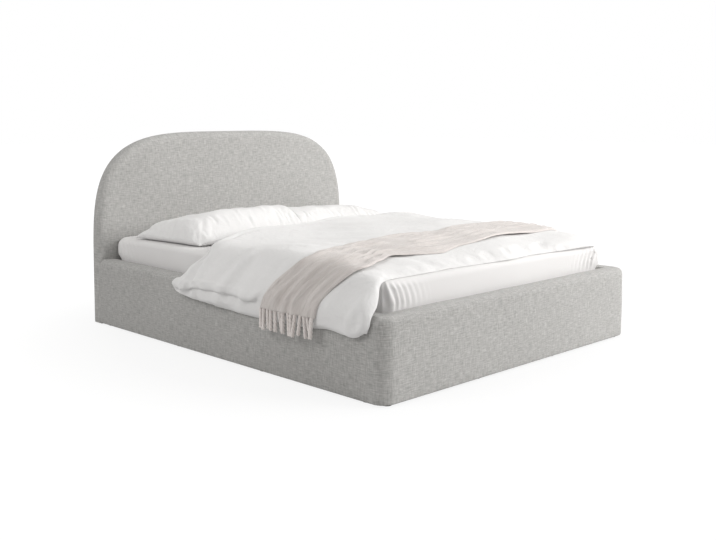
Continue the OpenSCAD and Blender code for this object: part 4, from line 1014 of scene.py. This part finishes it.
# Head-side and foot-side edge of the throw: place along the path over the bed, and Y there
throw_head = [(-1.12, -.385), (-1.075, -.397), (-1.0, -.435), (-.945, -.475), (-.86, -.555), (-.80, -.583),
              (-.65, -.531), (-.52, -.475), (-.40, -.450), (-.27, -.432), (-.05, -.430), (.10, -.425),
              (.30, -.380), (.60, -.330), (.80, -.335), (1.12, -.335)]
throw_foot = [(-1.12, -.740), (-1.075, -.748), (-1.0, -.772), (-.945, -.81), (-.86, -.88), (-.80, -.906),
              (-.65, -.84), (-.56, -.80), (-.47, -.805), (-.25, -.845), (-.08, -.80), (.13, -.780),
              (.39, -.725), (.60, -.715), (.80, -.715), (.95, -.695), (1.12, -.685)]


def duvet_surface(path, y):
    """Place on the duvet's upper side, by the path across the bed and Y."""
    cols = np.interp(path, path_at, np.arange(duvet_cols))
    c0 = np.clip(np.floor(cols).astype(int), 0, duvet_cols - 2)
    f = (cols - c0)[..., None]
    lines = upper[:, c0] * (1 - f) + upper[:, c0 + 1] * f
    out = np.zeros(y.shape + (3,))
    for index in np.ndindex(y.shape):
        line = lines[(slice(None),) + index]
        order = line[::-1]
        out[index] = [np.interp(y[index], order[:, 1], order[:, k]) for k in range(3)]
    return out


throw_cols, throw_rows = 290, 60
hang_path, hang_z = path_knots[-4:], np.array([0.425, 0.374, 0.30, 0.248])
hem_path = np.interp(throw_low, hang_z[::-1], hang_path[::-1])
reach = np.linspace(-hem_path, hem_path, throw_cols)
shares = np.linspace(0, 1, throw_rows)
path_grid, share_grid = np.meshgrid(reach, shares)
y_grid = (smooth_line(throw_foot, path_grid) * (1 - share_grid)
          + smooth_line(throw_head, path_grid) * share_grid)
from_middle = np.abs(path_grid)
lying = duvet_surface(path_grid, y_grid)
drop_z = np.interp(from_middle, hang_path, hang_z)
lying[:, :, 2] += (drop_z - lying[:, :, 2]) * ease((from_middle - 0.93) / 0.06)
for _ in range(3):
    lying[:, 1:-1] = (lying[:, :-2] + 2 * lying[:, 1:-1] + lying[:, 2:]) / 4
beside = np.abs(lying[:, :, 0])
outward = np.stack([np.sign(lying[:, :, 0]) * ease((beside - 0.8) / 0.13), 0 * path_grid,
                    1 - ease((beside - 0.82) / 0.11)], 2)
outward /= np.linalg.norm(outward, axis=2, keepdims=True)
across_w = (share_grid - 0.5) * throw_w
drift = across_w + 0.03 * np.sin(3.1 * path_grid + 1.0)
coarse = ripples(path_grid, drift, 5, 16, 0.16)
fine_folds = ripples(path_grid * 1.9, drift * 1.9, 11, 16, 0.22)
ridges = np.clip(1 - np.abs(coarse) * 1.35, 0, 1) ** 1.3
patch = ease(ripples(path_grid * 0.55, across_w * 0.55, 23, 9, 1.2) * 0.8 + 0.55)
to_edge = np.minimum(share_grid, 1 - share_grid)
fade = ease(to_edge / 0.08)
calm = 1 - 0.45 * ease((path_grid + 0.3) / 0.5)
rumple = calm * (wrinkle_h * ridges * (0.35 + 0.65 * patch)
                 + fine_h * (0.5 + 0.5 * np.tanh(1.6 * fine_folds)) * patch)
pleats = 2 * np.pi * (5.3 * share_grid + 0.35 * np.sin(5 * path_grid)) + 2.5 * share_grid**2
rumple += pleat_h * (0.5 + 0.5 * np.sin(pleats)) ** 1.4 * ease((from_middle - 0.70) / 0.25)
rumple *= 0.2 + 0.8 * fade
edge_roll = np.sqrt(np.clip(1 - (1 - to_edge / 0.018).clip(0, 1) ** 2, 0, 1))
lifted = 0.0015 + (lift_h * ease((0.14 - share_grid) / 0.14)
                   * ease((np.sin(6.3 * path_grid - 0.6) + 0.5) / 1.2))
throw_under = lying + outward * lifted[:, :, None]
throw_upper = lying + outward * (lifted + throw_t * (0.35 + 0.65 * edge_roll) + rumple)[:, :, None]
throw_map = np.stack([path_grid, across_w], 2)


def woven_throw(name, dark, light):
    """Soft twill with brushed fibres, on the throw's own cloth map."""
    made, tree, shader = new_material(name, 0.95, Specular_IOR_Level=0.15, Sheen_Weight=0.35,
                                      Sheen_Roughness=0.45)
    cloth = on_cloth(tree)
    parts = put(tree, "ShaderNodeSeparateXYZ", {0: cloth})
    twill = waved(tree, summed(tree, parts.outputs[0], parts.outputs[1]), 1800.0)
    streaks = noise(tree, stretched(tree, cloth, 24, 170, 1), detail=4, rough=0.6)
    fuzz = noise(tree, cloth, scale=700.0, detail=3)
    cloud = noise(tree, cloth, scale=7.0, detail=4)
    coloured(tree, shader, weighed(tree, (streaks, 0.45), (fuzz, 0.25), (cloud, 0.30)), dark, light)
    first = raised(tree, shader, weighed(tree, (fuzz, 1.0), (twill, 0.3)), 0.0008, 0.6)
    crinkle = noise(tree, stretched(tree, cloth, 9, 34, 1), detail=5, rough=0.6, low=0.25, high=0.75,
                    twist=0.8)
    raised(tree, shader, crinkle, 0.005, 0.8, under=first)
    return made


throw_wool = woven_throw("throw_wool", (0.62, 0.573, 0.548), (0.80, 0.76, 0.738))
# The fringe gets the throw's wool in a lighter colour: painted light that lifts the shade in the gaps between
# its strands and knots.
fringe_wool_painted_light = woven_throw("fringe_wool_painted_light", (0.80, 0.738, 0.708), (0.94, 0.90, 0.878))
throw = block("throw_cloth", throw_upper, [], throw_under, throw_map, [], throw_wool, 180)
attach(throw, "platform")
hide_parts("throw")

# --- Fringe of the throw ---
# The warp ends are knotted in bunches along both hems and twisted into hanging tassels.

fringe_count, fringe_l, knot_out = 14, 0.092, 0.003


def fringe_tree():
    """Twisted three-strand tassels under a knot, one on each point of the hem."""
    group = bpy.data.node_groups.new("fringe", "GeometryNodeTree")
    for name, kind, value in (
            ("Hem", "Geometry", None), ("Length", "Float", fringe_l), ("Strand radius", "Float", 0.0044),
            ("Twist radius", "Float", 0.0036), ("Flare radius", "Float", 0.0048),
            ("Knot radius", "Float", 0.0078), ("Seed", "Int", 4), ("Wool", "Material", fringe_wool_painted_light)):
        socket = group.interface.new_socket(name=name, in_out="INPUT", socket_type="NodeSocket" + kind)
        if value is not None:
            socket.default_value = value
    group.interface.new_socket(name="Fringe", in_out="OUTPUT", socket_type="NodeSocketGeometry")
    given = put(group, "NodeGroupInput").outputs
    strand = put(group, "GeometryNodeCurveSpiral",
                 {"Resolution": 14, "Rotations": 1.6, "Start Radius": given["Twist radius"],
                  "End Radius": given["Flare radius"], "Height": given["Length"]})
    hanging_strand = put(group, "GeometryNodeTransform", {0: strand.outputs[0], "Rotation": (math.pi, 0, 0)})
    profile = put(group, "GeometryNodeCurvePrimitiveCircle",
                  {"Resolution": 6, "Radius": given["Strand radius"]})
    one = put(group, "GeometryNodeCurveToMesh",
              {0: hanging_strand.outputs[0], 1: profile.outputs[0], "Fill Caps": True})
    joined = group.nodes.new("GeometryNodeJoinGeometry")
    for turn in (0.0, 2 * math.pi / 3, 4 * math.pi / 3):
        turned = put(group, "GeometryNodeTransform", {0: one.outputs[0], "Rotation": (0, 0, turn)})
        group.links.new(turned.outputs[0], joined.inputs[0])
    knot = put(group, "GeometryNodeMeshUVSphere",
               {"Segments": 10, "Rings": 7, "Radius": given["Knot radius"]})
    low = put(group, "GeometryNodeTransform",
              {0: knot.outputs[0], "Translation": (0, 0, -0.004), "Scale": (1, 1, 1.15)})
    group.links.new(low.outputs[0], joined.inputs[0])
    lean = put(group, "FunctionNodeRandomValue", {0: (-0.17, -0.03, 0.0), 1: (0.17, 0.03, 6.28),
                                                  "Seed": given["Seed"]}, data_type="FLOAT_VECTOR")
    size = put(group, "FunctionNodeRandomValue", {0: (0.88, 0.88, 0.88), 1: (1.12, 1.12, 1.02),
                                                  "Seed": given["Seed"]}, data_type="FLOAT_VECTOR")
    placed = put(group, "GeometryNodeInstanceOnPoints",
                 {"Points": given["Hem"], "Instance": joined.outputs[0], "Rotation": lean.outputs[0],
                  "Scale": size.outputs[0]})
    real = put(group, "GeometryNodeRealizeInstances", {0: placed.outputs[0]})
    painted = put(group, "GeometryNodeSetMaterial", {0: real.outputs[0], "Material": given["Wool"]})
    put(group, "NodeGroupOutput", {0: painted.outputs[0]})
    return group


hems = []
bunches = (np.arange(fringe_count) + 0.5) / fringe_count * (throw_rows - 1)
for column in (0, throw_cols - 1):
    line = throw_upper[:, column] * 0.5 + throw_under[:, column] * 0.5
    points = np.stack([np.interp(bunches, np.arange(throw_rows), line[:, axis]) for axis in range(3)], 1)
    points[:, 0] += np.copysign(knot_out, points[:, 0])
    hems += points.tolist()
hem_mesh = bpy.data.meshes.new("fringe_points")
hem_mesh.from_pydata(hems, [], [])
fringe_source = bpy.data.objects.new("fringe_points", hem_mesh)
scene.collection.objects.link(fringe_source)
growing = fringe_source.modifiers.new("fringe", "NODES")
growing.node_group = fringe_tree()
graph = bpy.context.evaluated_depsgraph_get()
tassels = bpy.data.meshes.new_from_object(fringe_source.evaluated_get(graph))
tassels.name = "throw_tassels"
wool_map = tassels.uv_layers.get("cloth") or tassels.uv_layers.new(name="cloth")
for loop in tassels.loops:
    at = tassels.vertices[loop.vertex_index].co
    wool_map.data[loop.index].uv = (at.z, at.y)
bpy.data.objects.remove(fringe_source)
fringe = bpy.data.objects.new("throw_tassels", tassels)
scene.collection.objects.link(fringe)
tassels.shade_smooth()
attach(fringe, "platform")
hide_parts("throw_fringe")
